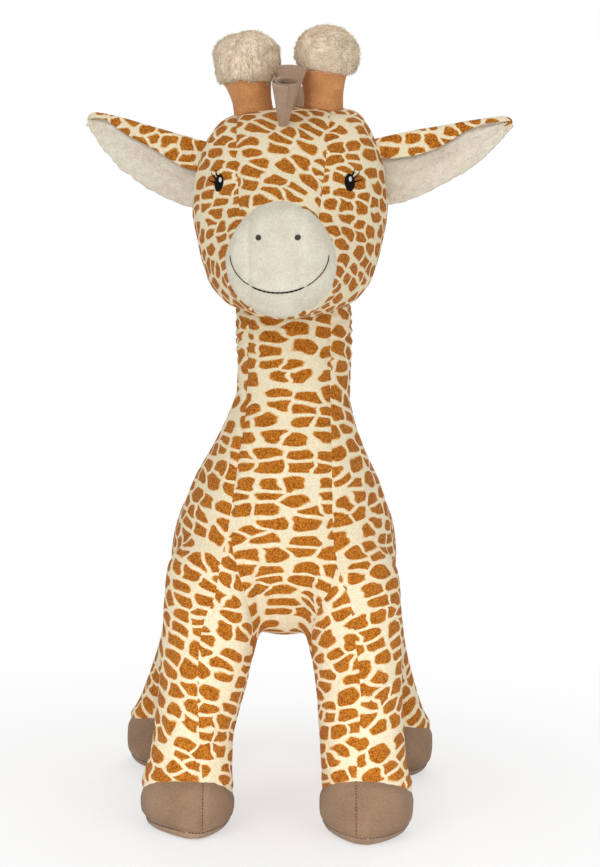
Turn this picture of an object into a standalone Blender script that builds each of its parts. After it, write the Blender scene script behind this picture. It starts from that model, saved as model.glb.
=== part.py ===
"""A standing plush giraffe, 0.79 m tall: sewn cloth skins over fibre fillings.

Metres, +Z up. The giraffe faces -Y, its own left side is +X, and its soles stand on Z = 0.
Soft bends are shown as round ends that turn in matching sockets.
"""

import math

import bmesh
import bpy
from mathutils import Matrix, Vector
from mathutils.bvhtree import BVHTree

# Cloth, seams and clearances
CLOTH = 0.002
SEAM_GAP = 0.0003
JOINT_GAP = 0.0008
SOCKET_EASE = 0.0036
OVERRUN = 0.03
THREAD_RAISE = 0.0009

# Trunk: rings turn through a quarter circle about the nape, then run straight back to the rump
TORSO_WIDTH = 0.233
NAPE_Y = 0.035
NAPE_HEIGHT = 0.400
NAPE_REACH = 0.035
CHEST_REACH = 0.214
NECK_BASE_RISE = 0.030
BARREL_LENGTH = 0.110
RUMP_DOME = 0.042
CHEST_GUSSET_WIDTH = 0.100
TORSO_SQUARENESS = 2.3
TORSO_TAPER_SHARE = 0.28

# Neck: round about its own upright axis
NECK_Y = -0.050
NECK_JOINT_RISE = 0.025
NECK_BALL_RADIUS = 0.0565
NECK_TOP_DROP = 0.071
NECK_SKIN_LOW_DEGREES = 66
NECK_BEND_DEGREES = 12
HEAD_TURN_DEGREES = 30
HEAD_SEAT_SHARE = 0.7

# Head
HEAD_LENGTH = 0.170
HEAD_WIDTH = 0.187
HEAD_HEIGHT = 0.198
HEAD_FRONT_Y = -0.170
HEAD_MIDDLE_RISE = 0.179
HEAD_BACK_DOME = 0.036
FOREHEAD_WIDTH = 0.092
MUZZLE_DOME = 0.036
HEAD_YAW_DEGREES = -4.6
HEAD_ROLL_DEGREES = -2.5

# Face, measured from the middle of the muzzle and from the eye's own middle
EYE_SPREAD = 0.0636
EYE_RISE = 0.0288
EYE_HALF_WIDTH = 0.0046
EYE_HALF_HEIGHT = 0.0083
EYE_TILT_DEGREES = 14
LASH_LENGTH = 0.0112
LASH_HALF_WIDTH = 0.0006
HIGHLIGHT_HALF_WIDTH = 0.0014
HIGHLIGHT_HALF_HEIGHT = 0.0024
HIGHLIGHT_RISE = 0.0035
NOSTRIL_SPREAD = 0.0190
NOSTRIL_RISE = 0.0265
NOSTRIL_RADIUS = 0.0023
SMILE_HALF_WIDTH = 0.0485
SMILE_DROP = 0.0375
SMILE_RISE = 0.0085
SMILE_STROKE = 0.0013

# Legs: the hip, the hoof and the girth of the front and the rear pair
FRONT_HIP = (0.066, -0.082, 0.240)
FRONT_HOOF = (0.0875, -0.108)
FRONT_HIP_RADIUS = 0.048
REAR_HIP = (0.060, 0.114, 0.235)
REAR_HOOF = (0.1135, 0.135)
REAR_HIP_RADIUS = 0.051
HOOF_WIDTH = 0.091
HOOF_LENGTH = 0.100
HOOF_FRONT_HEIGHT = 0.058
HOOF_TOP_SLOPE_DEGREES = 14
SOLE_HEIGHT = 0.008
ANKLE_SETBACK = 0.009
HIP_SWING_DEGREES = 10

# Ears: the root seam and the leaf that stands out from it
EAR_ROOT_Y = -0.056
EAR_ROOT_RISE = 0.034
EAR_ROOT_LEAN_DEGREES = 11
EAR_LENGTH = 0.1235
EAR_RISE = 0.049
EAR_DROP_BACK = 0.022
EAR_HALF_WIDTH = 0.0335
EAR_FOLD_DEPTH = 0.013
LINING_CLOTH = 0.0028
EAR_FORWARD_DEGREES = 25
EAR_BACK_DEGREES = 20
EAR_STEP_DEGREES = 9
EAR_REST_DEGREES = {"left": 0, "right": -14}

# Horns
HORN_SPREAD = 0.0335
HORN_Y = -0.047
HORN_LEAN_DEGREES = 6
HORN_RADIUS = 0.0205
HORN_LENGTH = 0.036
HORN_TIP_RADIUS = 0.0335
HORN_TIP_HEIGHT = 0.050
HORN_LIFT = 0.003
HORN_TILT_DEGREES = 10

# Mane tabs: rolled cones of suede
TAB_HEIGHT = 0.052
TAB_TOP_RADIUS = 0.0125
TAB_BASE_RADIUS = 0.0034
TAB_CLOTH = 0.0015
TAB_LIFT = 0.0009

# Tail
TAIL_HEIGHT = 0.285
TAIL_LENGTH = 0.080
TAIL_RADIUS = 0.008
TAIL_TAPER_SHARE = 0.7
TUFT_RADIUS = 0.017
TUFT_LENGTH = 0.062
TAIL_LIFT_DEGREES = 80

# Heights that follow from the sizes above
NECK_JOINT_HEIGHT = NAPE_HEIGHT + NECK_JOINT_RISE
HEAD_MIDDLE_HEIGHT = NECK_JOINT_HEIGHT + HEAD_MIDDLE_RISE
NECK_RISE = HEAD_MIDDLE_RISE - NECK_TOP_DROP
EYE_HEIGHT = HEAD_MIDDLE_HEIGHT + EYE_RISE
EAR_ROOT_HEIGHT = HEAD_MIDDLE_HEIGHT + EAR_ROOT_RISE

# Outlines, as shares of the sizes above
# Trunk rings: rise, turn, way back, nape reach, chest reach, width
TORSO_SHARES = (
    (1.00, 0.00, 0.00, 0.80, 0.662, 0.485),
    (0.00, 0.00, 0.00, 0.66, 0.685, 0.520),
    (0.00, 0.17, 0.00, 0.68, 0.745, 0.600),
    (0.00, 0.34, 0.00, 0.74, 0.860, 0.705),
    (0.00, 0.50, 0.00, 0.82, 0.955, 0.830),
    (0.00, 0.68, 0.00, 0.92, 1.095, 0.900),
    (0.00, 0.85, 0.00, 0.98, 1.035, 0.920),
    (0.00, 1.00, 0.00, 1.00, 1.005, 0.925),
    (0.00, 1.00, 0.40, 1.00, 0.985, 0.925),
    (0.00, 1.00, 0.72, 1.10, 0.945, 0.890),
    (0.00, 1.00, 1.00, 1.45, 0.865, 0.790),
)
GUSSET_SHARES = (0.80, 0.80, 0.82, 0.86, 0.92, 1.00, 1.00, 0.95, 0.85, 0.70, 0.50)
# Head rings from the back of the head to the muzzle seam: way forward, drop, width, height, squareness
HEAD_SHARES = (
    (0.00, -0.050, 0.600, 0.590, 2.15),
    (0.15, -0.025, 0.860, 0.840, 2.35),
    (0.35, 0.000, 1.000, 0.995, 2.60),
    (0.52, 0.020, 0.985, 0.985, 2.60),
    (0.70, 0.070, 0.870, 0.865, 2.35),
    (0.86, 0.140, 0.690, 0.680, 2.10),
    (1.00, 0.200, 0.575, 0.555, 2.00),
)
FOREHEAD_SHARES = (0.55, 0.75, 0.95, 1.00, 0.90, 0.70, 0.55)
# Leg rings from the hip down: drop, way to the hoof, width, depth; the last four are the hoof's own
LEG_SHARES = (
    (0.00, 0.00, 1.00, 1.00),
    (0.24, 0.26, 0.95, 0.96),
    (0.45, 0.50, 0.87, 0.90),
    (0.64, 0.72, 0.845, 0.87),
    (0.76, 0.86, 0.865, 0.89),
)
HOOF_SHARES = (
    (0.92, 0.62, 0.940, 0.920, 0.55),
    (0.62, 1.00, 1.000, 1.000, 1.00),
    (0.30, 1.00, 1.000, 1.000, 1.00),
    (0.09, 1.00, 0.935, 0.950, 1.00),
    (0.00, 1.00, 0.840, 0.870, 1.00),
)
# Neck profile above the joint: rise, radius
NECK_SHARES = (
    (0.16, 0.980),
    (0.36, 1.000),
    (0.58, 1.010),
    (0.80, 1.000),
    (0.92, 0.900),
    (1.00, 0.740),
)
# Ear leaf from the root to the tip: way out, rise, half width, depth of the fold
EAR_SHARES = (
    (-0.03, 0.00, 0.94, 0.10),
    (0.06, 0.01, 0.96, 0.45),
    (0.16, 0.04, 0.98, 0.88),
    (0.30, 0.12, 1.00, 1.00),
    (0.48, 0.32, 0.90, 0.90),
    (0.72, 0.62, 0.66, 0.66),
    (0.90, 0.86, 0.38, 0.38),
    (1.00, 1.00, 0.13, 0.13),
)
# Ear section from the lower edge round the folded top: forward, up
EAR_FOLD_SHARES = (
    (0.55, -1.00),
    (0.18, -0.62),
    (0.00, -0.15),
    (0.00, 0.35),
    (0.18, 0.78),
    (0.55, 1.00),
    (0.95, 0.84),
    (1.05, 0.45),
)
# Horn stalk and tip: height, radius
STALK_SHARES = ((0.25, 0.97), (0.55, 0.98), (0.85, 1.10), (1.00, 1.16))
TIP_SHARES = ((0.00, 0.80), (0.10, 0.93), (0.30, 1.00), (0.62, 0.97), (0.84, 0.74), (0.96, 0.40))
# Tail cord and tuft: drop, radius
TUFT_SHARES = ((0.00, 0.55), (0.20, 0.86), (0.50, 1.00), (0.78, 0.78), (0.94, 0.42))
# Lashes: angle up from the outer side in degrees, length
LASHES = ((62, 1.00), (30, 0.90), (-4, 0.80))
# Smile strokes: side, start and end in degrees from straight down
SMILE_STROKES = (("right", -88, -36), ("middle", -33, 31), ("left", 34, 88))
# Mane tabs on the head: angle over the crown and lean to its left in degrees, height
HEAD_TABS = ((66, 0, 1.00), (77, 12, 0.82), (134, 0, 1.00), (152, 0, 1.00), (170, 0, 1.00))
# Mane tabs lower down: rise up the neck, place along the trunk
NECK_TAB_SHARES = (0.40, 0.68)
TORSO_TAB_SHARES = (0.22, 0.83)

AROUND, LEG_AROUND, HORN_AROUND = 20, 16, 12
INSIDE_AROUND, SMALL_AROUND = 10, 8
EYE_AROUND, DOT_AROUND, SMILE_STEPS = 16, 8, 6
DOME_RINGS = 4
FOOT_RINGS = 2
TAB_STEPS = 6
LINING_POINTS, LINING_ROWS = 5, 7
FINE_ROOM = (JOINT_GAP, 24, 8)
EASY_ROOM = (SOCKET_EASE, 12, 4)
UNIT = 1
ACROSS, FORWARD, UP = Vector((1, 0, 0)), Vector((0, -1, 0)), Vector((0, 0, 1))
SIDES = {"left": 1, "right": -1}


def clear_scene():
    for obj in list(bpy.data.objects):
        bpy.data.objects.remove(obj)


def material(name, colour, roughness):
    made = bpy.data.materials.new(name)
    made.use_nodes = True
    shader = made.node_tree.nodes["Principled BSDF"]
    shader.inputs["Base Color"].default_value = (*colour, 1)
    shader.inputs["Roughness"].default_value = roughness
    shader.inputs["Metallic"].default_value = 0
    return made


def add(name, bm, finish=None, parent=None):
    """An object of this mesh: a part where it has a finish, else a hidden cutter or guide."""
    bmesh.ops.recalc_face_normals(bm, faces=bm.faces)
    mesh = bpy.data.meshes.new(name)
    bm.to_mesh(mesh)
    bm.free()
    obj = bpy.data.objects.new(name, mesh)
    bpy.context.scene.collection.objects.link(obj)
    if finish:
        mesh.materials.append(finish)
        mesh.shade_smooth()
    else:
        obj.hide_render = True
        obj.display_type = "WIRE"
    if parent:
        place_on(obj, parent)
    return obj


def place_on(obj, parent):
    """Hangs an object, modelled where the parent stands unturned, on that parent."""
    obj.parent = parent
    obj.matrix_parent_inverse = Matrix.Translation(-Vector(parent["rest"]))


def pivot(name, place, parent=None):
    """An empty on a joint's axis; its parts are modelled round it in the giraffe's own frame."""
    empty = bpy.data.objects.new(name, None)
    bpy.context.scene.collection.objects.link(empty)
    empty["rest"] = tuple(place)
    empty.location = place
    if parent:
        place_on(empty, parent)
    return empty


def boolean(obj, other, operation="DIFFERENCE"):
    modifier = obj.modifiers.new(other.name, "BOOLEAN")
    modifier.operation = operation
    modifier.object = other
    modifier.solver = "MANIFOLD"


def smooth_rows(rows, steps):
    """The rows with steps - 1 more between each two, on smooth curves through them all."""
    last = len(rows) - 1
    made = []
    for i in range(last):
        a, b, c, d = rows[max(i - 1, 0)], rows[i], rows[i + 1], rows[min(i + 2, last)]
        for k in range(steps):
            t = k / steps
            made.append([smooth_value(*four, t) for four in zip(a, b, c, d)])
    made.append(list(rows[-1]))
    return made


def smooth_value(a, b, c, d, t):
    slope = (c - a) * t
    bow = (2 * a - 5 * b + 4 * c - d) * t**2
    turn = (3 * b - a - 3 * c + d) * t**3
    return b + (slope + bow + turn) / 2


def ring_of(centre, across, along, half_across, half_along, squareness=2, taper=0):
    """An oval; taper is the share by which it widens towards along and narrows away from it."""
    return (centre, across, along, half_across, half_along, squareness, taper)


def dome_rings(ring, outward, length, count):
    """Rings of a round end beyond this ring, and the end's tip."""
    centre, across, along, half_across, half_along, squareness, taper = ring
    made = []
    for k in range(1, count):
        angle = math.radians(90 * k / count)
        shrink = math.cos(angle)
        middle = centre + outward * length * math.sin(angle)
        halves = (half_across * shrink, half_along * shrink)
        made.append(ring_of(middle, across, along, *halves, squareness, taper))
    return made, centre + outward * length


def ring_points(ring, around):
    centre, across, along, half_across, half_along, squareness, taper = ring
    points = []
    for k in range(around):
        angle = math.tau * k / around
        c, s = math.cos(angle), math.sin(angle)
        x = math.copysign(abs(c) ** (2 / squareness), c) * half_across
        way = math.copysign(abs(s) ** (2 / squareness), s)
        points.append(centre + across * x * (1 + taper * way) + along * half_along * way)
    return points


def loft(rings, around, start_tip=None, end_tip=None, inset=0):
    """A closed form through the rings, shrunk by inset along its normals."""
    bm = bmesh.new()
    loops = [[bm.verts.new(point) for point in ring_points(ring, around)] for ring in rings]
    for low, high in zip(loops, loops[1:]):
        for k in range(around):
            n = (k + 1) % around
            bm.faces.new((low[k], low[n], high[n], high[k]))
    for loop, tip in ((loops[0], start_tip), (loops[-1], end_tip)):
        if tip is None:
            bm.faces.new(loop)
            continue
        point = bm.verts.new(tip)
        for k in range(around):
            bm.faces.new((loop[k], loop[(k + 1) % around], point))
    bmesh.ops.recalc_face_normals(bm, faces=bm.faces)
    bm.normal_update()
    for vert, normal in [(vert, vert.normal.copy()) for vert in bm.verts]:
        vert.co -= normal * inset
    bmesh.ops.triangulate(bm, faces=bm.faces, quad_method="FIXED")
    return bm


def turned(profile, around, centre):
    """A solid of revolution about the upright line through centre; profile holds radius and height."""
    bm = bmesh.new()
    loops = []
    for radius, height in profile:
        if radius == 0:
            loops.append([bm.verts.new(centre + UP * height)])
            continue
        ring = ring_of(centre + UP * height, ACROSS, FORWARD, radius, radius)
        loops.append([bm.verts.new(point) for point in ring_points(ring, around)])
    closed = len(loops[0]) > 1
    pairs = list(zip(loops, loops[1:])) + ([(loops[-1], loops[0])] if closed else [])
    for low, high in pairs:
        for k in range(around):
            n = (k + 1) % around
            corners = [low[k % len(low)], low[n % len(low)], high[n % len(high)], high[k % len(high)]]
            bm.faces.new(list(dict.fromkeys(corners)))
    return bm


def box(low, high):
    bm = bmesh.new()
    bmesh.ops.create_cube(bm, size=UNIT)
    low, high = Vector(low), Vector(high)
    for vert in bm.verts:
        vert.co = Vector(l + (c + UNIT / 2) * (h - l) for l, h, c in zip(low, high, vert.co))
    return bm


def turned_about(bm, place, axis, degrees):
    turn = Matrix.Rotation(math.radians(degrees), 4, axis)
    bm.transform(Matrix.Translation(place) @ turn @ Matrix.Translation(-Vector(place)))
    return bm


def torso_rings(steps):
    """Rings from the neck's base round the nape and back to the rump."""
    quarter = math.pi / 2
    made = []
    for rise, turn, back, nape, chest, width in smooth_rows(TORSO_SHARES, steps):
        out = Vector((0, -math.cos(turn * quarter), -math.sin(turn * quarter)))
        start = Vector((0, NAPE_Y + back * BARREL_LENGTH, NAPE_HEIGHT + rise * NECK_BASE_RISE))
        near, far = nape * NAPE_REACH, chest * CHEST_REACH
        middle = start + out * (near + far) / 2
        halves = (width * TORSO_WIDTH / 2, (far - near) / 2)
        taper = turn * TORSO_TAPER_SHARE
        made.append(ring_of(middle, ACROSS, out, *halves, TORSO_SQUARENESS, taper))
    return made


def torso_form(inset=0, around=AROUND):
    rings = torso_rings(1)
    rump, tip = dome_rings(rings[-1], -FORWARD, RUMP_DOME, DOME_RINGS - 1)
    return loft(rings + rump, around, None, tip, inset)


def chest_gusset_region(spread):
    """A wedge from the trunk's middle line out past the chest and belly."""
    bm = bmesh.new()
    rings = torso_rings(1)
    end = rings[-1]
    rings.append((end[0] - FORWARD * (RUMP_DOME + OVERRUN), *end[1:]))
    shares = GUSSET_SHARES + GUSSET_SHARES[-1:]
    loops = []
    for ring, share in zip(rings, shares):
        centre, across, along, _, half_along, _, _ = ring
        half = share * CHEST_GUSSET_WIDTH / 2 + spread
        far = along * (half_along + OVERRUN)
        corners = (centre - across * half, centre + across * half)
        loops.append([bm.verts.new(p) for p in (*corners, corners[1] + far, corners[0] + far)])
    bridge_square(bm, loops)
    return bm


def bridge_square(bm, loops):
    for low, high in zip(loops, loops[1:]):
        for k in range(4):
            n = (k + 1) % 4
            bm.faces.new((low[k], low[n], high[n], high[k]))
    bm.faces.new(loops[0])
    bm.faces.new(loops[-1])
    bmesh.ops.triangulate(bm, faces=bm.faces, quad_method="FIXED")


def leg_sizes(pair):
    if pair == "front":
        return Vector(FRONT_HIP), Vector((*FRONT_HOOF, 0)), FRONT_HIP_RADIUS
    return Vector(REAR_HIP), Vector((*REAR_HOOF, 0)), REAR_HIP_RADIUS


def leg_rings(pair, side):
    """Rings from the hip down to the flat of the sole."""
    hip, hoof, radius = leg_sizes(pair)
    ankle = Vector((hoof.x, hoof.y + ANKLE_SETBACK, 0))
    rows = []
    for drop, way, width, depth in LEG_SHARES:
        place = hip.lerp(ankle, way)
        rows.append((place.x, place.y, hip.z * (1 - drop), width * radius, depth * radius))
    girth = rows[-1][3:]
    for height, way, width, depth, own in HOOF_SHARES:
        place = ankle.lerp(hoof, way)
        half_width = girth[0] + (width * HOOF_WIDTH / 2 - girth[0]) * own
        half_depth = girth[1] + (depth * HOOF_LENGTH / 2 - girth[1]) * own
        rows.append((place.x, place.y, height * HOOF_FRONT_HEIGHT, half_width, half_depth))
    made = []
    for x, y, z, half_width, half_depth in rows:
        made.append(ring_of(Vector((side * x, y, z)), ACROSS, FORWARD, half_width, half_depth))
    return made


def leg_form(pair, side, inset=0, around=LEG_AROUND):
    rings = leg_rings(pair, side)
    _, _, radius = leg_sizes(pair)
    dome, tip = dome_rings(rings[0], UP, radius, DOME_RINGS)
    return loft(dome[::-1] + rings, around, tip, None, inset)


def leg_room(pair, side, ease, around, dome_count):
    """The space a leg needs from end to end of its swing: a ball at the hip over a shaft that widens."""
    hip, hoof, radius = leg_sizes(pair)
    swing = math.radians(HIP_SWING_DEGREES)
    sideways = abs(hoof.x - hip.x) / hip.z * radius * math.sin(swing)
    lean = abs(hoof.y + ANKLE_SETBACK - hip.y) / hip.z * radius * math.sin(swing)
    made = []
    for centre, across, along, half_width, half_depth, _, _ in leg_rings(pair, side):
        drop = hip.z - centre.z
        swept = half_depth / math.cos(swing) + drop * math.tan(swing) + lean
        spread = swept / math.cos(math.pi / around) + ease
        widened = (half_width + (sideways if drop else 0)) / math.cos(math.pi / around) + ease
        made.append(ring_of(centre, across, along, widened, spread))
    dome, tip = dome_rings(made[0], UP, radius + ease, dome_count)
    return loft(dome[::-1] + made, around, tip, None)


def neck_profile(inset, low_degrees, dome_count=DOME_RINGS):
    """Radius and height from low on the ball up to the top inside the head, shrunk by inset."""
    ball = NECK_BALL_RADIUS - inset
    rows = []
    for k in range(dome_count + 1):
        angle = math.radians(-low_degrees * (1 - k / dome_count))
        rows.append((ball * math.cos(angle), ball * math.sin(angle)))
    for rise, share in NECK_SHARES:
        rows.append((share * NECK_BALL_RADIUS - inset, rise * NECK_RISE))
    return rows


def neck_solid(inset, around, dome_count=DOME_RINGS):
    rows = neck_profile(inset, 90, dome_count)[1:]
    ball = NECK_BALL_RADIUS - inset
    top = NECK_RISE - inset
    rows[-1] = (rows[-1][0], top)
    return turned([(0, -ball)] + rows + [(0, top)], around, Vector((0, NECK_Y, NECK_JOINT_HEIGHT)))


def neck_shell():
    """Cloth round the neck, open below and above so that the filling runs through."""
    outside = neck_profile(0, NECK_SKIN_LOW_DEGREES)
    inside = neck_profile(CLOTH, NECK_SKIN_LOW_DEGREES)
    return turned(outside + inside[::-1], LEG_AROUND, Vector((0, NECK_Y, NECK_JOINT_HEIGHT)))



def head_rings(steps):
    made = []
    for way, drop, width, height, square in smooth_rows(HEAD_SHARES, steps):
        y = HEAD_FRONT_Y + HEAD_LENGTH * (1 - way)
        middle = Vector((0, y, HEAD_MIDDLE_HEIGHT - drop * HEAD_HEIGHT))
        halves = (width * HEAD_WIDTH / 2, height * HEAD_HEIGHT / 2)
        made.append(ring_of(middle, ACROSS, UP, *halves, square))
    return made


def head_form(inset=0, around=AROUND):
    rings = head_rings(1)
    back, back_tip = dome_rings(rings[0], -FORWARD, HEAD_BACK_DOME, DOME_RINGS - 1)
    front, front_tip = dome_rings(rings[-1], FORWARD, MUZZLE_DOME, DOME_RINGS - 1)
    return loft(back[::-1] + rings + front, around, back_tip, front_tip, inset)


def forehead_region(spread, ahead):
    """A wedge from the head's middle line up past the crown, which runs this far past the muzzle seam."""
    bm = bmesh.new()
    rings = head_rings(1)
    back, front = rings[0], rings[-1]
    rings.insert(0, (back[0] - FORWARD * (HEAD_BACK_DOME + OVERRUN), *back[1:]))
    rings[-1] = (front[0] + FORWARD * ahead, *front[1:])
    shares = FOREHEAD_SHARES[:1] + FOREHEAD_SHARES
    loops = []
    for ring, share in zip(rings, shares):
        centre, across, along, _, half_along, _, _ = ring
        half = share * FOREHEAD_WIDTH / 2 + spread
        far = along * (half_along + OVERRUN)
        corners = (centre - across * half, centre + across * half)
        loops.append([bm.verts.new(p) for p in (*corners, corners[1] + far, corners[0] + far)])
    bridge_square(bm, loops)
    return bm


def prism(outline, near_y, far_y):
    """A solid of this x, z outline between two places along Y."""
    bm = bmesh.new()
    front = [bm.verts.new((x, near_y, z)) for x, z in outline]
    back = [bm.verts.new((x, far_y, z)) for x, z in outline]
    count = len(outline)
    for k in range(count):
        n = (k + 1) % count
        bm.faces.new((front[k], front[n], back[n], back[k]))
    bm.faces.new(front)
    bm.faces.new(back)
    return bm


def oval(x, z, half_width, half_height, tilt_degrees, count):
    tilt = math.radians(tilt_degrees)
    points = []
    for k in range(count):
        angle = math.tau * k / count
        a, b = half_width * math.cos(angle), half_height * math.sin(angle)
        across = a * math.cos(tilt) - b * math.sin(tilt)
        up = a * math.sin(tilt) + b * math.cos(tilt)
        points.append((x + across, z + up))
    return points


def eye_outline(side):
    """An oval that leans in at the top, with three lashes on its outer side."""
    points = []
    for x, z in oval(0, 0, EYE_HALF_WIDTH, EYE_HALF_HEIGHT, EYE_TILT_DEGREES, EYE_AROUND):
        points.append((math.degrees(math.atan2(z, x)), x, z))
    for degrees, share in LASHES:
        angle = math.radians(degrees)
        tip = (math.cos(angle) * share * LASH_LENGTH, math.sin(angle) * share * LASH_LENGTH)
        root = lash_root(points, degrees)
        sideways = LASH_HALF_WIDTH / root
        for turn, reach in ((-sideways, root), (sideways, root)):
            a = angle + turn
            points.append((math.degrees(a), math.cos(a) * reach, math.sin(a) * reach))
        points.append((degrees, *tip))
    points.sort()
    return [(side * (EYE_SPREAD + x), EYE_HEIGHT + z) for _, x, z in points]


def lash_root(points, degrees):
    """How far out the oval's edge lies in this direction."""
    nearest = min(points, key=lambda point: abs(point[0] - degrees))
    return math.hypot(nearest[1], nearest[2])


def smile_outline(start_degrees, end_degrees):
    """A stroke along the lower half of an ellipse, between two angles from straight down."""
    inner, outer = [], []
    for k in range(SMILE_STEPS + 1):
        angle = math.radians(start_degrees + (end_degrees - start_degrees) * k / SMILE_STEPS)
        x, z = SMILE_HALF_WIDTH * math.sin(angle), -SMILE_DROP * math.cos(angle)
        length = math.hypot(x, z)
        for points, reach in ((inner, -SMILE_STROKE / 2), (outer, SMILE_STROKE / 2)):
            stretch = 1 + reach / length
            points.append((x * stretch, muzzle_height() + SMILE_RISE + z * stretch))
    return inner + outer[::-1]


def muzzle_height():
    return HEAD_MIDDLE_HEIGHT - HEAD_SHARES[-1][1] * HEAD_HEIGHT


def ear_root(side):
    form = head_form()
    place, _ = surface_point(form, Vector((0, EAR_ROOT_Y, EAR_ROOT_HEIGHT)), ACROSS * side)
    form.free()
    return place


def ear_points(side):
    """Rows of points over the folded leaf, from the root out and from the lower edge round the fold."""
    root = ear_root(1)
    lean = math.radians(EAR_ROOT_LEAN_DEGREES)
    rows = []
    for way, rise, width, fold in EAR_SHARES:
        middle = root + Vector((way * EAR_LENGTH, way * EAR_DROP_BACK, rise * EAR_RISE))
        half = width * EAR_HALF_WIDTH
        tilt = lean * (1 - way)
        row = []
        for forward, up in EAR_FOLD_SHARES:
            place = middle + FORWARD * forward * EAR_FOLD_DEPTH * fold
            place += Vector((-math.sin(tilt), 0, math.cos(tilt))) * up * half
            row.append(Vector((side * place.x, place.y, place.z)))
        rows.append(row)
    return rows


def sheet(rows, start, thickness):
    """A closed sheet between two offsets from a grid of points, the first along its back."""
    bm = bmesh.new()
    grid = [[bm.verts.new(point) for point in row] for row in rows]
    for low, high in zip(grid, grid[1:]):
        for k in range(len(low) - 1):
            bm.faces.new((low[k], low[k + 1], high[k + 1], high[k]))
    bmesh.ops.recalc_face_normals(bm, faces=bm.faces)
    bm.normal_update()
    inward = -1 if sum(face.normal.y for face in bm.faces) > 0 else 1
    layers = []
    for offset in (start, start + thickness):
        layers.append([[vert.co + vert.normal * inward * offset for vert in row] for row in grid])
    bm.free()
    bm = bmesh.new()
    near, far = [[[bm.verts.new(point) for point in row] for row in layer] for layer in layers]
    for layer in (near, far):
        for low, high in zip(layer, layer[1:]):
            for k in range(len(low) - 1):
                bm.faces.new((low[k], low[k + 1], high[k + 1], high[k]))
    rim = rim_of(near), rim_of(far)
    for k in range(len(rim[0])):
        n = (k + 1) % len(rim[0])
        bm.faces.new((rim[0][k], rim[0][n], rim[1][n], rim[1][k]))
    return bm


def rim_of(layer):
    """The grid's edge points in order round it."""
    ends = [row[-1] for row in layer[1:-1]]
    starts = [row[0] for row in layer[1:-1]]
    return layer[0] + ends + layer[-1][::-1] + starts[::-1]


def horn_profile(inset):
    """Radius and height of the stalk, from its round foot to its top, shrunk by inset."""
    rows = []
    for k in range(DOME_RINGS + 1):
        angle = math.radians(-90 * (1 - k / DOME_RINGS))
        rows.append(((HORN_RADIUS - inset) * math.cos(angle), (HORN_RADIUS - inset) * math.sin(angle)))
    for height, share in STALK_SHARES:
        rows.append((share * HORN_RADIUS - inset, height * HORN_LENGTH))
    return rows


def tip_profile(inset):
    rows = []
    for height, share in TIP_SHARES:
        rise = min(height * HORN_TIP_HEIGHT, HORN_TIP_HEIGHT - inset)
        rows.append((share * HORN_TIP_RADIUS - inset, HORN_LENGTH + rise))
    return rows


def horn_stalk():
    outside = horn_profile(0)[FOOT_RINGS:]
    inside = horn_profile(CLOTH)[FOOT_RINGS:]
    return outside + inside[::-1]


def horn_tip():
    """A cap, open below where the stalk's top ends."""
    outside = tip_profile(0)
    inside = tip_profile(CLOTH)[1:]
    top = HORN_LENGTH + HORN_TIP_HEIGHT
    mouth = HORN_LENGTH + SEAM_GAP
    neck_radius = STALK_SHARES[-1][1] * HORN_RADIUS - CLOTH
    outside[0] = (outside[0][0], mouth)
    lip = [(neck_radius, mouth + CLOTH), (neck_radius, mouth)]
    return [(0, top - CLOTH)] + inside[::-1] + lip + outside + [(0, top)]


def horn_filling():
    stalk = horn_profile(CLOTH + SEAM_GAP)
    tip = tip_profile(CLOTH + SEAM_GAP)[1:]
    throat = STALK_SHARES[-1][1] * HORN_RADIUS - CLOTH - SEAM_GAP
    start = HORN_LENGTH + SEAM_GAP + CLOTH + SEAM_GAP
    top = HORN_LENGTH + HORN_TIP_HEIGHT - CLOTH - SEAM_GAP
    stalk[0] = (0, stalk[0][1])
    return stalk + [(throat, start)] + tip + [(0, top)]


def place_horn(bm, side):
    """Leans a horn out from its joint on the crown."""
    bm.transform(Matrix.Rotation(math.radians(side * HORN_LEAN_DEGREES), 4, "Y"))
    bm.transform(Matrix.Translation(horn_joint(side)))
    return bm


def surface_point(bm, start, direction):
    """Where a ray from inside the form comes out, and the outward normal there."""
    point, normal, _, _ = BVHTree.FromBMesh(bm).ray_cast(start, direction)
    if normal.dot(direction) < 0:
        normal = -normal
    return point, normal


def horn_joint(side):
    start = Vector((side * HORN_SPREAD, HORN_Y, HEAD_MIDDLE_HEIGHT))
    bm = head_form()
    point, _ = surface_point(bm, start, UP)
    bm.free()
    return point + UP * side * HORN_LIFT


def mane_tab(share):
    """A cone of rolled suede, open at its top, on the local upright axis."""
    floor = TAB_CLOTH
    inside_base = TAB_BASE_RADIUS - TAB_CLOTH
    return [
        (0, 0),
        (TAB_BASE_RADIUS, 0),
        (TAB_TOP_RADIUS, share * TAB_HEIGHT),
        (TAB_TOP_RADIUS - TAB_CLOTH, share * TAB_HEIGHT),
        (inside_base, floor),
        (0, floor),
    ]


def place_tab(place, axis, share=1):
    bm = turned(mane_tab(share), SMALL_AROUND, Vector())
    bm.transform(UP.rotation_difference(axis).to_matrix().to_4x4())
    bm.transform(Matrix.Translation(place + axis * TAB_LIFT))
    return bm


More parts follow.
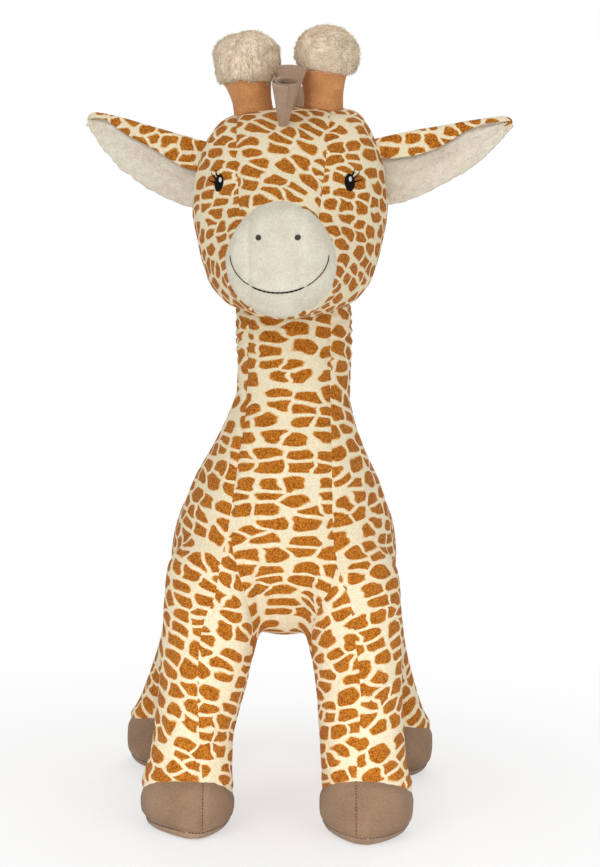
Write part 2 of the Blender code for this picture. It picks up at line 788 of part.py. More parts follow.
def make_torso(cloths, mane_cloth):
    whole = add("torso_cloth", torso_form())
    boolean(whole, add("torso_inside", torso_form(CLOTH, INSIDE_AROUND)))
    filling = add("torso_filling", torso_form(CLOTH + SEAM_GAP, INSIDE_AROUND), cloths["filling"])
    rim = NECK_JOINT_HEIGHT - NECK_BALL_RADIUS * math.sin(math.radians(NECK_BEND_DEGREES)) - JOINT_GAP
    reach = TORSO_WIDTH
    above = add("torso_rim_cut", box((-reach, -reach, rim), (reach, reach, rim + reach)))
    for obj, room in ((whole, FINE_ROOM), (filling, EASY_ROOM)):
        ease, around, dome_count = room
        boolean(obj, above)
        boolean(obj, add("neck_room", neck_solid(-ease, around, dome_count)))
        for pair in ("front", "rear"):
            for side in SIDES.values():
                boolean(obj, add("hip_room", leg_room(pair, side, *room)))
    gusset = add("chest_gusset", chest_gusset_region(0), cloths["print"])
    boolean(gusset, whole, "INTERSECT")
    wide = add("gusset_room", chest_gusset_region(SEAM_GAP))
    for name, side in SIDES.items():
        ends = sorted((side * SEAM_GAP / 2, side * reach))
        region = box((ends[0], -reach, 0), (ends[1], reach, rim + reach))
        panel = add(f"body_panel_{name}", region, cloths["print"])
        boolean(panel, wide)
        boolean(panel, whole, "INTERSECT")
    for k, share in enumerate(TORSO_TAB_SHARES):
        place, axis = nape_point(share)
        add(f"mane_tab_back_{k + 1}", place_tab(place, axis), mane_cloth)


def nape_point(share):
    """A place along the trunk's back edge, and the way out from it."""
    rings = torso_rings(TAB_STEPS)
    centre, _, along, *_ = rings[round(share * (len(rings) - 1))]
    form = torso_form()
    place, axis = surface_point(form, centre, -along)
    form.free()
    return place, axis



def make_legs(cloths):
    for pair in ("front", "rear"):
        for name, side in SIDES.items():
            make_leg(pair, name, side, cloths)


def make_leg(pair, name, side, cloths):
    """A leg with its hoof: one form cut into skin, suede hoof and sole, over one filling."""
    hip, hoof, radius = leg_sizes(pair)
    hip.x *= side
    joint = pivot(f"hip_{pair}_{name}", hip)
    shell = add("leg_cloth", leg_form(pair, side), parent=joint)
    boolean(shell, add("leg_inside", leg_form(pair, side, CLOTH, INSIDE_AROUND), parent=joint))
    reach = HOOF_LENGTH
    middle = Vector((side * hoof.x, hoof.y, 0))
    slope = math.radians(HOOF_TOP_SLOPE_DEGREES)
    top = HOOF_FRONT_HEIGHT - HOOF_LENGTH / 2 * math.tan(slope)
    seam = middle + UP * top
    low, high = middle - Vector((reach, reach, 0)), middle + Vector((reach, reach, 0))
    half_gap = UP * SEAM_GAP / 2
    above = box(low + UP * top + half_gap, high + UP * (hip.z + reach))
    turned_about(above, seam, "X", -HOOF_TOP_SLOPE_DEGREES)
    pieces = {
        f"leg_skin_{pair}_{name}": (above, cloths["print"]),
        f"hoof_{pair}_{name}": (box(low + UP * SOLE_HEIGHT + half_gap, high + UP * reach), cloths["suede"]),
        f"sole_{pair}_{name}": (box(low - UP * reach, high + UP * SOLE_HEIGHT - half_gap), cloths["sole"]),
    }
    below = box(low + UP * top - half_gap, high + UP * (hip.z + reach))
    over_hoof = add("hoof_top_cut", turned_about(below, seam, "X", -HOOF_TOP_SLOPE_DEGREES), parent=joint)
    for piece, (region, cloth) in pieces.items():
        obj = add(piece, region, cloth, joint)
        if piece.startswith("hoof"):
            boolean(obj, over_hoof)
        boolean(obj, shell, "INTERSECT")
    filling = leg_form(pair, side, CLOTH + SEAM_GAP, INSIDE_AROUND)
    add(f"leg_filling_{pair}_{name}", filling, cloths["filling"], joint)


def make_neck(cloths, mane_cloth):
    place = Vector((0, NECK_Y, NECK_JOINT_HEIGHT))
    joint = pivot("neck_bend", place)
    add("neck_skin", neck_shell(), cloths["print"], joint)
    add("neck_filling", neck_solid(CLOTH + 2 * SEAM_GAP, SMALL_AROUND), cloths["filling"], joint)
    for k, share in enumerate(NECK_TAB_SHARES):
        back = place - FORWARD * NECK_SHARES[1][1] * NECK_BALL_RADIUS + UP * share * NECK_RISE
        add(f"mane_tab_neck_{k + 1}", place_tab(back, -FORWARD), mane_cloth, joint)
    return joint


def make_head(cloths, mane_cloth, neck):
    top = pivot("head_turn", (0, NECK_Y, NECK_JOINT_HEIGHT + NECK_RISE * HEAD_SEAT_SHARE), neck)
    top.rotation_euler = (0, math.radians(HEAD_ROLL_DEGREES), math.radians(HEAD_YAW_DEGREES))
    whole = add("head_cloth", head_form(), parent=top)
    boolean(whole, add("head_inside", head_form(CLOTH, INSIDE_AROUND), parent=top))
    filling = add("head_filling", head_form(CLOTH + SEAM_GAP, INSIDE_AROUND), cloths["filling"], top)
    for obj, room in ((whole, FINE_ROOM), (filling, EASY_ROOM)):
        ease, around, dome_count = room
        boolean(obj, add("neck_top_room", neck_solid(-ease, around, dome_count), parent=neck))
        for side in SIDES.values():
            boolean(obj, add("horn_room", horn_room(side, *room), parent=top))
    cut_head_panels(whole, cloths, top)
    make_face(cloths, top)
    inside = Vector((0, NECK_Y, HEAD_MIDDLE_HEIGHT))
    for k, (degrees, lean, share) in enumerate(HEAD_TABS):
        angle = math.radians(degrees)
        form = head_form()
        place, axis = surface_point(form, inside, FORWARD * math.cos(angle) + UP * math.sin(angle))
        form.free()
        axis = (axis + ACROSS * math.tan(math.radians(lean))).normalized()
        add(f"mane_tab_head_{k + 1}", place_tab(place, axis, share), mane_cloth, top)
    return top



def horn_room(side, ease, around, dome_count):
    """The space a horn needs from end to end of its tilt: a ball under a stalk that widens."""
    tilt = math.radians(HORN_TILT_DEGREES)
    base = ring_of(Vector(), ACROSS, FORWARD, HORN_RADIUS + ease, HORN_RADIUS + ease)
    made, _ = dome_rings(base, -UP, HORN_RADIUS + ease, dome_count)
    made = made[::-1] + [base]
    for height, share in STALK_SHARES:
        rise, radius = height * HORN_LENGTH, share * HORN_RADIUS
        spread = radius / math.cos(tilt) + rise * math.tan(tilt) + ease
        made.append(ring_of(UP * rise, ACROSS, FORWARD, spread, radius + ease))
    return place_horn(loft(made, around, -UP * (HORN_RADIUS + ease), None), side)


def cut_head_panels(whole, cloths, top):
    reach = HEAD_WIDTH
    seam = HEAD_FRONT_Y
    low, high = HEAD_MIDDLE_HEIGHT - reach, HEAD_MIDDLE_HEIGHT + reach
    front = box((-reach, seam - reach, low), (reach, seam - SEAM_GAP / 2, high))
    boolean(add("muzzle", front, cloths["muzzle"], top), whole, "INTERSECT")
    middle = add("forehead_gusset", forehead_region(0, -SEAM_GAP / 2), cloths["print"], top)
    boolean(middle, whole, "INTERSECT")
    wide = add("forehead_room", forehead_region(SEAM_GAP, OVERRUN), parent=top)
    for name, side in SIDES.items():
        ends = sorted((side * SEAM_GAP / 2, side * reach))
        region = box((ends[0], seam + SEAM_GAP / 2, low), (ends[1], reach, high))
        panel = add(f"head_panel_{name}", region, cloths["print"], top)
        boolean(panel, wide)
        boolean(panel, whole, "INTERSECT")


def face_layer(name, low, high, top):
    """The space between two heights above the head's cloth, for stitched work."""
    layer = add(name, head_form(-high), parent=top)
    boolean(layer, add(name + "_floor", head_form(-low), parent=top))
    return layer


def make_face(cloths, top):
    layer = face_layer("stitch_layer", SEAM_GAP, SEAM_GAP + THREAD_RAISE, top)
    second = face_layer("highlight_layer", 2 * SEAM_GAP + THREAD_RAISE, 2 * (SEAM_GAP + THREAD_RAISE), top)
    stitched = {}
    for name, side in SIDES.items():
        stitched[f"eye_{name}"] = (eye_outline(side), layer, "thread")
        halves = (HIGHLIGHT_HALF_WIDTH, HIGHLIGHT_HALF_HEIGHT)
        shine = oval(side * EYE_SPREAD, EYE_HEIGHT + HIGHLIGHT_RISE, *halves, 0, DOT_AROUND)
        stitched[f"eye_highlight_{name}"] = (shine, second, "highlight")
        halves = (NOSTRIL_RADIUS, NOSTRIL_RADIUS)
        dot = oval(side * NOSTRIL_SPREAD, muzzle_height() + NOSTRIL_RISE, *halves, 0, DOT_AROUND)
        stitched[f"nostril_{name}"] = (dot, layer, "nostril")
    for name, start, end in SMILE_STROKES:
        stitched[f"smile_{name}"] = (smile_outline(start, end), layer, "thread")
    near = HEAD_FRONT_Y - MUZZLE_DOME - OVERRUN
    for name, (outline, where, cloth) in stitched.items():
        boolean(add(name, prism(outline, near, NECK_Y), cloths[cloth], top), where, "INTERSECT")



def make_ears(cloths, top):
    for name, side in SIDES.items():
        root = ear_root(side)
        lean = math.radians(EAR_ROOT_LEAN_DEGREES)
        axis = Vector((-side * math.sin(lean), 0, math.cos(lean)))
        joint = pivot(f"ear_fold_{name}", root, top)
        rows = ear_points(side)
        leaf = sheet(rows, -CLOTH, CLOTH)
        inner_rows = [row[:LINING_POINTS] for row in rows[1:LINING_ROWS]]
        inner = sheet(inner_rows, SEAM_GAP, LINING_CLOTH)
        for bm in (leaf, inner):
            turned_about(bm, root, axis, -side * EAR_REST_DEGREES[name])
        back = add(f"ear_back_{name}", leaf, cloths["print"], joint)
        lining = add(f"ear_lining_{name}", inner, cloths["lining"], joint)
        for degrees in range(-EAR_BACK_DEGREES, EAR_FORWARD_DEGREES + 1, EAR_STEP_DEGREES):
            room = turned_about(head_form(-JOINT_GAP), root, axis, side * degrees)
            cutter = add("head_room", room, parent=top)
            boolean(back, cutter)
            boolean(lining, cutter)



def make_horns(cloths, top):
    for name, side in SIDES.items():
        joint = pivot(f"horn_tilt_{name}", horn_joint(side), top)
        for piece, profile, cloth in (
            ("horn_stalk", horn_stalk(), "stalk"),
            ("horn_tip", horn_tip(), "fluff"),
            ("horn_filling", horn_filling(), "filling"),
        ):
            solid = place_horn(turned(profile, HORN_AROUND, Vector()), side)
            add(f"{piece}_{name}", solid, cloths[cloth], joint)


def make_tail(cloths):
    form = torso_form()
    rump, _ = surface_point(form, Vector((0, NAPE_Y, TAIL_HEIGHT)), -FORWARD)
    form.free()
    place = rump - FORWARD * (TAIL_RADIUS + SEAM_GAP)
    joint = pivot("tail_swing", place)
    cord = [(0, TAIL_RADIUS)]
    for k in range(1, DOME_RINGS):
        angle = math.radians(90 * (1 - k / (DOME_RINGS - 1)))
        cord.append((TAIL_RADIUS * math.cos(angle), TAIL_RADIUS * math.sin(angle)))
    cord += [(TAIL_RADIUS * TAIL_TAPER_SHARE, -TAIL_LENGTH), (0, -TAIL_LENGTH)]
    add("tail", turned(cord, INSIDE_AROUND, place), cloths["print"], joint)
    start = -TAIL_LENGTH - SEAM_GAP
    tuft = [(0, start)]
    for drop, share in TUFT_SHARES:
        tuft.append((share * TUFT_RADIUS, start - drop * TUFT_LENGTH))
    tuft.append((0, start - TUFT_LENGTH))
    add("tail_tuft", turned(tuft, INSIDE_AROUND, place), cloths["suede"], joint)



def make_cloths():
    colours = {
        "print": ((0.68, 0.42, 0.20), 0.95),
        "muzzle": ((0.76, 0.72, 0.58), 0.95),
        "lining": ((0.70, 0.61, 0.50), 0.95),
        "suede": ((0.33, 0.21, 0.13), 0.85),
        "sole": ((0.42, 0.29, 0.20), 0.85),
        "stalk": ((0.52, 0.24, 0.09), 0.90),
        "fluff": ((0.68, 0.54, 0.38), 1.00),
        "mane": ((0.45, 0.30, 0.20), 0.85),
        "thread": ((0.01, 0.01, 0.01), 0.60),
        "highlight": ((0.85, 0.84, 0.90), 0.60),
        "nostril": ((0.10, 0.09, 0.08), 0.70),
        "filling": ((0.85, 0.85, 0.83), 1.00),
    }
    return {name: material(name, colour, roughness) for name, (colour, roughness) in colours.items()}


def main():
    clear_scene()
    cloths = make_cloths()
    make_torso(cloths, cloths["mane"])
    make_legs(cloths)
    neck = make_neck(cloths, cloths["mane"])
    head = make_head(cloths, cloths["mane"], neck)
    make_ears(cloths, head)
    make_horns(cloths, head)
    make_tail(cloths)


main()
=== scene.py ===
import math
from random import Random

import bmesh
import bpy
from mathutils import Matrix, Vector, noise
from mathutils.bvhtree import BVHTree
from mathutils.kdtree import KDTree


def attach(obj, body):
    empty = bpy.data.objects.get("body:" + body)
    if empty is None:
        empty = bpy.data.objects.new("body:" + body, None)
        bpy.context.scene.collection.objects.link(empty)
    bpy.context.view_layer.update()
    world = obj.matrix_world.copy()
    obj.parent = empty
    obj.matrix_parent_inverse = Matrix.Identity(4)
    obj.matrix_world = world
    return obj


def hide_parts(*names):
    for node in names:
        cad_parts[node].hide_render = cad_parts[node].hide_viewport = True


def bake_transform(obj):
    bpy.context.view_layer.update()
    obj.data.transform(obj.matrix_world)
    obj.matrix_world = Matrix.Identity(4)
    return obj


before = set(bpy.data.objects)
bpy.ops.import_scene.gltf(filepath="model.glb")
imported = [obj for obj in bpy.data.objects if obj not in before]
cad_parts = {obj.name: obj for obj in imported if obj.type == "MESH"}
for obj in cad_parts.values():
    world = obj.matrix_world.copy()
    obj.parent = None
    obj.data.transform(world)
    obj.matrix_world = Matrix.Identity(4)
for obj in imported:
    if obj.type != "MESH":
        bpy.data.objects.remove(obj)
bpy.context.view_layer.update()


# Body cloth
# The trunk, neck and legs are one bag of short-pile plush, sewn from panels and stuffed with
# fibre. The solids are wrapped in one skin, and a cloth simulation with air pressure inside
# stands for the stuffing that presses the cloth out.

CLOTH_VOXEL = 0.005
CLOTH_SMOOTHING = 12
STUFFING_PRESSURE = 4.0
STUFFING_FRAMES = 20
STUFFING_TRAVEL = 0.008
STUFFING_PUFF = 0.0015
WELD = 0.00001


def points_of(node):
    return [vert.co.copy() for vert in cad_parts[node].data.vertices]


def middle_of(points):
    points = list(points)
    return sum(points, Vector()) / len(points)


def copy_of(nodes):
    """One mesh holding a copy of these solids, with their doubled corners merged."""
    bm = bmesh.new()
    for node in nodes:
        bm.from_mesh(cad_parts[node].data)
    bmesh.ops.remove_doubles(bm, verts=bm.verts, dist=WELD)
    return bm


def piece(name, bm, *finishes):
    """A piece of the scene with this shape and these materials."""
    mesh = bpy.data.meshes.new(name)
    bm.to_mesh(mesh)
    bm.free()
    mesh.shade_smooth()
    made = bpy.data.objects.new(name, mesh)
    bpy.context.scene.collection.objects.link(made)
    for finish in finishes:
        mesh.materials.append(finish)
    return made


def settled(guide):
    """The guide's mesh as its modifiers leave it. The guide goes."""
    graph = bpy.context.evaluated_depsgraph_get()
    changed = bmesh.new()
    changed.from_object(guide, graph)
    bpy.data.meshes.remove(guide.data)
    return changed


def with_modifier(bm, kind, **settings):
    """The shape with one modifier applied."""
    guide = piece("guide", bm)
    modifier = guide.modifiers.new(kind, kind)
    for name, value in settings.items():
        setattr(modifier, name, value)
    return settled(guide)


def connected(left, beside):
    """Takes one thing out of the set, and all that are joined to it step by step."""
    group = [left.pop()]
    for one in group:
        for other in beside(one):
            if other in left:
                left.discard(other)
                group.append(other)
    return group


def keep_largest(bm):
    """Drops every loose shell but the largest."""
    left = set(bm.verts)
    shells = []
    while left:
        shells.append(connected(left, lambda vert: [edge.other_vert(vert) for edge in vert.link_edges]))
    largest = max(shells, key=len)
    for shell in shells:
        if shell is not largest:
            bmesh.ops.delete(bm, geom=shell, context="VERTS")


def smooth(bm, times, verts=None):
    axes = {"use_axis_x": True, "use_axis_y": True, "use_axis_z": True}
    for _ in range(times):
        bmesh.ops.smooth_vert(bm, verts=verts or bm.verts, factor=0.5, **axes)


def wrapped(bm, voxel, smoothing):
    """One smooth skin round everything in the mesh."""
    bm = with_modifier(bm, "REMESH", mode="VOXEL", voxel_size=voxel)
    keep_largest(bm)
    smooth(bm, smoothing)
    return bm


PUSH_END = 3


def pushed(bm, pushes):
    """Moves the cloth as listed, most at each push's middle and less further off.
    Each push gives its middle, how far it reaches along x, y and z, and the move."""
    for vert in bm.verts:
        start = vert.co.copy()
        for middle, reach, move in pushes:
            off = sum(((a - b) / c) ** 2 for a, b, c in zip(start, middle, reach))
            if off < PUSH_END**2:
                vert.co += Vector(move) * math.exp(-off)


def stuffed(bm, pressure, travel):
    """The skin pressed out by its filling, no point of it moving further than travel."""
    bm.verts.ensure_lookup_table()
    rest = [vert.co.copy() for vert in bm.verts]
    guide = piece("guide", bm)
    cloth = guide.modifiers.new("cloth", "CLOTH")
    cloth.settings.quality = 5
    cloth.settings.mass = 0.3
    cloth.settings.tension_stiffness = 12
    cloth.settings.compression_stiffness = 12
    cloth.settings.shear_stiffness = 6
    cloth.settings.bending_stiffness = 0.4
    cloth.settings.use_pressure = True
    cloth.settings.uniform_pressure_force = pressure
    cloth.settings.effector_weights.gravity = 0
    cloth.collision_settings.use_collision = False
    cloth.point_cache.frame_end = STUFFING_FRAMES
    for step in range(1, STUFFING_FRAMES + 1):
        bpy.context.scene.frame_set(step)
    bm = settled(guide)
    bpy.context.scene.frame_set(1)
    bm.verts.ensure_lookup_table()
    for vert, start in zip(bm.verts, rest):
        moved = vert.co - start
        if moved.length > travel:
            vert.co = start + moved * (travel / moved.length)
    return bm


def at(rows, where):
    """The value that the rows give at this place, even between them."""
    if where <= rows[0][0]:
        return rows[0][1]
    for low, high in zip(rows, rows[1:]):
        if where <= high[0]:
            share = (where - low[0]) / (high[0] - low[0])
            return low[1] + (high[1] - low[1]) * share
    return rows[-1][1]


def ease(low, high, value):
    """0 before low and 1 past high, with a smooth rise between them."""
    share = min(max((value - low) / (high - low), 0), 1)
    return share * share * (3 - 2 * share)


LEGS = [f"{pair}_{side}" for pair in ("front", "rear") for side in ("left", "right")]
trunk_nodes = ["torso_filling", "body_panel_left", "body_panel_right", "chest_gusset"]
neck_nodes = ["neck_filling", "neck_skin"]
leg_nodes = {leg: [f"leg_filling_{leg}", f"leg_skin_{leg}"] for leg in LEGS}
hoof_nodes = {leg: [f"hoof_{leg}", f"sole_{leg}"] for leg in LEGS}
body_nodes = trunk_nodes + neck_nodes
for leg in LEGS:
    body_nodes += leg_nodes[leg] + hoof_nodes[leg]
HOOF_SMOOTHING = 4
HOOF_HEIGHT = 0.052
PUFF_START, PUFF_FULL = -0.001, 0.012
# The fuller belly, slimmer lower legs and small tilts of the real one: middle, reach, move.
BODY_PUSHES = (
    ((0, -0.06, 0.190), (0.034, 0.07, 0.030), (0, 0, -0.0085)),
    ((-0.052, -0.11, 0.092), (0.022, 0.06, 0.042), (-0.0085, 0, 0)),
    ((0.046, -0.10, 0.150), (0.020, 0.05, 0.035), (0.0030, 0, 0)),
    ((-0.140, 0.12, 0.130), (0.050, 0.07, 0.055), (0.0045, 0, 0)),
    ((0.140, 0.12, 0.130), (0.050, 0.07, 0.055), (-0.0045, 0, 0)),
    ((-0.115, -0.03, 0.265), (0.040, 0.12, 0.055), (-0.0045, 0, 0)),
    ((0, -0.05, 0.440), (0.200, 0.20, 0.050), (0.0028, 0, 0)),
    ((0, 0.002, 0.520), (0.060, 0.03, 0.022), (0, 0.003, 0.012)),
    ((-0.0745, -0.150, 0.002), (0.026, 0.035, 0.026), (0, -0.0200, 0)),
    ((0.0830, -0.150, 0.002), (0.026, 0.035, 0.026), (0, -0.0180, 0)),
)
body = wrapped(copy_of(body_nodes), CLOTH_VOXEL, HOOF_SMOOTHING)
smooth(body, CLOTH_SMOOTHING - HOOF_SMOOTHING, [vert for vert in body.verts if vert.co.z > HOOF_HEIGHT])
pushed(body, BODY_PUSHES)
body = stuffed(body, STUFFING_PRESSURE, STUFFING_TRAVEL)
body.normal_update()
for vert in body.verts:
    vert.co += vert.normal * STUFFING_PUFF * ease(PUFF_START, PUFF_FULL, vert.co.z)


# Body panels
# Two side panels carry the outside of the legs, and a gusset runs from the chin down the chest
# and under the belly. The seams between them follow the front of the neck, chest and forelegs.
# Each panel was cut from printed cloth laid flat, so the print breaks at every seam.

# Each row is a height and how far to the side the seam lies there.
SEAM_RIGHT = (
    (0.007, -0.0708), (0.052, -0.0723), (0.102, -0.0779), (0.145, -0.0812), (0.184, -0.0813),
    (0.210, -0.0763), (0.236, -0.0655), (0.262, -0.0625), (0.293, -0.0571), (0.323, -0.0541),
    (0.375, -0.0481), (0.405, -0.0445), (0.443, -0.0440), (0.486, -0.0435),
)
SEAM_LEFT = (
    (0.013, 0.0774), (0.057, 0.0760), (0.098, 0.0776), (0.145, 0.0779), (0.167, 0.0752), (0.206, 0.0689),
    (0.236, 0.0641), (0.248, 0.0569), (0.265, 0.0506), (0.289, 0.0469), (0.329, 0.0445), (0.367, 0.0432),
    (0.405, 0.0410), (0.443, 0.0398), (0.486, 0.0383),
)
SEAM_REAR = ((0.0, 0.1135), (0.1, 0.100), (0.2, 0.080), (0.25, 0.075))
LEG_SEAM_RIGHT = (
    (0.185, -0.026), (0.207, -0.0283), (0.2225, -0.0325), (0.2585, -0.0441), (0.283, -0.0530),
)
LEG_SEAM_LEFT = (
    (0.180, 0.026), (0.2027, 0.0274), (0.2129, 0.0300), (0.2294, 0.0353), (0.2406, 0.0436),
    (0.268, 0.0500),
)
# How far back along Y each seam passes from its line in front to its line at the rear.
MAIN_SEAM_TURN = (-0.03, 0.06)
LEG_SEAM_TURN = (-0.10, -0.02)
FRONT_Y = -0.05
UNDER_HEIGHT = 0.205
RUMP_Y, RUMP_REACH = 0.12, 0.1
FORELEG_BACK, FORELEG_TOP, FORELEG_REACH = -0.02, 0.29, 0.09
UNWRAP_STEPS = 12


def main_seam(side, co):
    fore = at(SEAM_LEFT if side > 0 else SEAM_RIGHT, co.z)
    rear = side * at(SEAM_REAR, co.z)
    return fore + (rear - fore) * ease(*MAIN_SEAM_TURN, co.y)


def leg_seam(side, co):
    inner = at(LEG_SEAM_LEFT if side > 0 else LEG_SEAM_RIGHT, co.z)
    return inner + (main_seam(side, co) - inner) * ease(*LEG_SEAM_TURN, co.y)


FRONT_HOOF_RIGHT, FRONT_HOOF_LEFT = 0.0335, 0.0395
FRONT_HOOF_CREST, CREST_START, CREST_END = 0.0215, -0.105, -0.152
REAR_HOOF, REAR_HOOF_Y, REAR_HOOF_SLOPE = 0.0465, 0.135, 0.25
SOLE_TOP = 0.0085
HOOVES_END = 0.1


def hoof_line(co):
    """Where the suede of the hooves ends: highest at the front of the forelegs."""
    if co.y > 0:
        return REAR_HOOF - REAR_HOOF_SLOPE * (co.y - REAR_HOOF_Y)
    side = FRONT_HOOF_RIGHT if co.x < 0 else FRONT_HOOF_LEFT
    return side + FRONT_HOOF_CREST * ease(CREST_START, CREST_END, co.y)


X, Y, Z = 0, 1, 2
CUT_SNAP = 0.0007


def cut_along(bm, axis, level, wanted):
    """Cuts the wanted faces where this coordinate equals the level there."""
    faces = [face for face in bm.faces if wanted(face.calc_center_median())]
    edges = {edge for face in faces for edge in face.edges}
    verts = {vert for face in faces for vert in face.verts}
    for vert in bm.verts:
        vert.co[axis] -= level(vert.co)
    plane = {"plane_co": (0, 0, 0), "plane_no": (axis == X, axis == Y, axis == Z)}
    snap = {"dist": CUT_SNAP, "use_snap_center": True}
    bmesh.ops.bisect_plane(bm, geom=[*faces, *edges, *verts], **plane, **snap)
    for vert in bm.verts:
        vert.co[axis] += level(vert.co)


def in_front_or_under(co):
    return co.y < FRONT_Y or co.z < UNDER_HEIGHT


def on_foreleg(co, reach=FORELEG_REACH):
    return co.y < FORELEG_BACK and co.z < FORELEG_TOP and abs(co.x) < reach


for side in (-1, 1):
    cut_along(body, X, lambda co: main_seam(side, co), in_front_or_under)
    cut_along(body, X, lambda co: leg_seam(side, co), on_foreleg)
cut_along(body, X, lambda co: 0, lambda co: co.y > FRONT_Y and co.z > UNDER_HEIGHT - 0.01)
cut_along(body, Z, lambda co: UNDER_HEIGHT, lambda co: co.y > RUMP_Y and abs(co.x) < RUMP_REACH)
cut_along(body, Z, hoof_line, lambda co: co.z < HOOVES_END)
cut_along(body, Z, lambda co: SOLE_TOP, lambda co: co.z < HOOVES_END)

SIDE_LEFT, SIDE_RIGHT, GUSSET, INNER_LEFT, INNER_RIGHT, HOOF, HOOF_INSIDE, SOLE = range(1, 9)


def panel_at(co):
    side = 1 if co.x > 0 else -1
    if co.z < SOLE_TOP:
        return SOLE
    if co.z < hoof_line(co) and co.z < HOOVES_END:
        return HOOF_INSIDE if abs(co.x) < abs(main_seam(side, co)) else HOOF
    if in_front_or_under(co) and abs(co.x) < abs(main_seam(side, co)):
        if on_foreleg(co, math.inf) and abs(co.x) > abs(leg_seam(side, co)):
            return INNER_LEFT if side > 0 else INNER_RIGHT
        return GUSSET
    return SIDE_LEFT if side > 0 else SIDE_RIGHT


def mark_panels(bm, panel_of):
    """Notes each face's panel, and marks the seams between panels."""
    panel = bm.faces.layers.int.new("panel")
    for face in bm.faces:
        face[panel] = panel_of(face.calc_center_median())
    for edge in bm.edges:
        edge.seam = len({face[panel] for face in edge.link_faces}) > 1


def unwrapped(bm):
    """The mesh with each panel laid flat, by the marked seams."""
    flat = piece("flat", bm)
    flat.data.uv_layers.new(name="print")
    bpy.context.view_layer.objects.active = flat
    flat.select_set(True)
    bpy.ops.object.mode_set(mode="EDIT")
    bpy.ops.mesh.select_all(action="SELECT")
    bpy.ops.uv.unwrap(method="MINIMUM_STRETCH", fill_holes=False, iterations=UNWRAP_STEPS, margin=0.001)
    bpy.ops.object.mode_set(mode="OBJECT")
    bm = bmesh.new()
    bm.from_mesh(flat.data)
    bpy.data.meshes.remove(flat.data)
    return bm


def set_places(faces, layer, place_of):
    """Gives each corner of the faces its place on a flat pattern."""
    for face in faces:
        for loop in face.loops:
            loop[layer].uv = place_of(loop)


def way_up(faces, print_layer):
    """How large these faces are, how large their flat pattern is, and the way up on it."""
    area = flat_area = 0.0
    climb = Vector((0, 0))
    for face in faces:
        loops = face.loops
        for second, third in zip(loops[1:], loops[2:]):
            corners = (loops[0], second, third)
            a, b, c = (loop.vert.co for loop in corners)
            p, q, r = (loop[print_layer].uv for loop in corners)
            area += (b - a).cross(c - a).length
            s, t = q - p, r - p
            flat_area += abs(s.x * t.y - s.y * t.x)
            rise_s, rise_t = b.z - a.z, c.z - a.z
            climb += Vector((rise_s * t.y - rise_t * s.y, rise_t * s.x - rise_s * t.x))
    return area, flat_area, climb


def turn_to(climb, slant):
    """The turn that sets a pattern upright but for its slant."""
    turn = math.pi / 2 - math.atan2(climb.y, climb.x) + math.radians(slant)
    return (turn + math.pi) % math.tau - math.pi


# The print runs level down the legs too. Each row: where along Y a leg leaves the trunk, and
# where it has left it.
LIMB_TOP = 0.275
LIMB_LOW = 0.185
LIMB_STARTS = ((0.02, -0.03), (0.04, 0.09))


def swing_limbs(island, print_layer, slant):
    """Turns the pattern of each leg of a side panel about the top of the leg."""
    for start, end in LIMB_STARTS:
        def own(co):
            return ease(start, end, co.y) * ease(LIMB_TOP, LIMB_LOW, co.z)

        low = [face for face in island if own(face.calc_center_median()) > 0.99]
        # The turn's middle is where the leg is half its own.
        hips = [loop for face in island for loop in face.loops if 0.4 < own(loop.vert.co) < 0.6]
        middle = sum((loop[print_layer].uv for loop in hips), Vector((0, 0))) / len(hips)
        swing = turn_to(way_up(low, print_layer)[2], slant)
        for face in island:
            for loop in face.loops:
                share = own(loop.vert.co)
                if share:
                    turn = Matrix.Rotation(swing * share, 2)
                    loop[print_layer].uv = middle + turn @ (loop[print_layer].uv - middle)


# Each panel is cut from its own place on the roll of cloth. A scrap has fewer faces than this.
CUTTING_STEP = 7.3
SCRAP = 500


def lay_print(bm, cells, limb_slants=None):
    """Turns and sizes each panel's flat pattern so that one spot of the print takes one unit.
    cells gives the width, the height and the slant of the spots of each panel."""
    bm.faces.ensure_lookup_table()
    print_layer = bm.loops.layers.uv["print"]
    panel = bm.faces.layers.int["panel"]

    def unseamed(face):
        return [other for edge in face.edges if not edge.seam for other in edge.link_faces]

    left = set(bm.faces)
    while left:
        island = connected(left, unseamed)
        which = island[0][panel]
        area, flat_area, climb = way_up(island, print_layer)
        if flat_area <= 0:
            continue
        width, height, slant = cells[which]
        turn = Matrix.Rotation(turn_to(climb, slant), 2) * math.sqrt(area / flat_area)
        set_places(island, print_layer, lambda loop: turn @ loop[print_layer].uv)
        if limb_slants and which in limb_slants and len(island) > SCRAP:
            swing_limbs(island, print_layer, limb_slants[which])
        scale = Matrix.Diagonal((1 / width, 1 / height))
        offset = Vector((CUTTING_STEP, CUTTING_STEP)) * which
        set_places(island, print_layer, lambda loop: scale @ loop[print_layer].uv + offset)


PLAIN = (0.02, 0.02, 0)
BODY_CELLS = {
    SIDE_LEFT: (0.0250, 0.0147, 16),
    SIDE_RIGHT: (0.0250, 0.0147, -16),
    GUSSET: (0.0295, 0.0142, 0),
    INNER_LEFT: (0.0250, 0.0142, -8),
    INNER_RIGHT: (0.0250, 0.0142, 8),
    **dict.fromkeys((HOOF, HOOF_INSIDE, SOLE), PLAIN),
}
LEG_SLANTS = {SIDE_LEFT: -14, SIDE_RIGHT: 18}
mark_panels(body, panel_at)
body = unwrapped(body)
lay_print(body, BODY_CELLS, LEG_SLANTS)
body = with_modifier(body, "SUBSURF", levels=1, render_levels=1)


SEAM_UNEVEN = 0.4
BODY_SEAM_DEPTH, BODY_SEAM_REACH = 0.0020, 0.0045


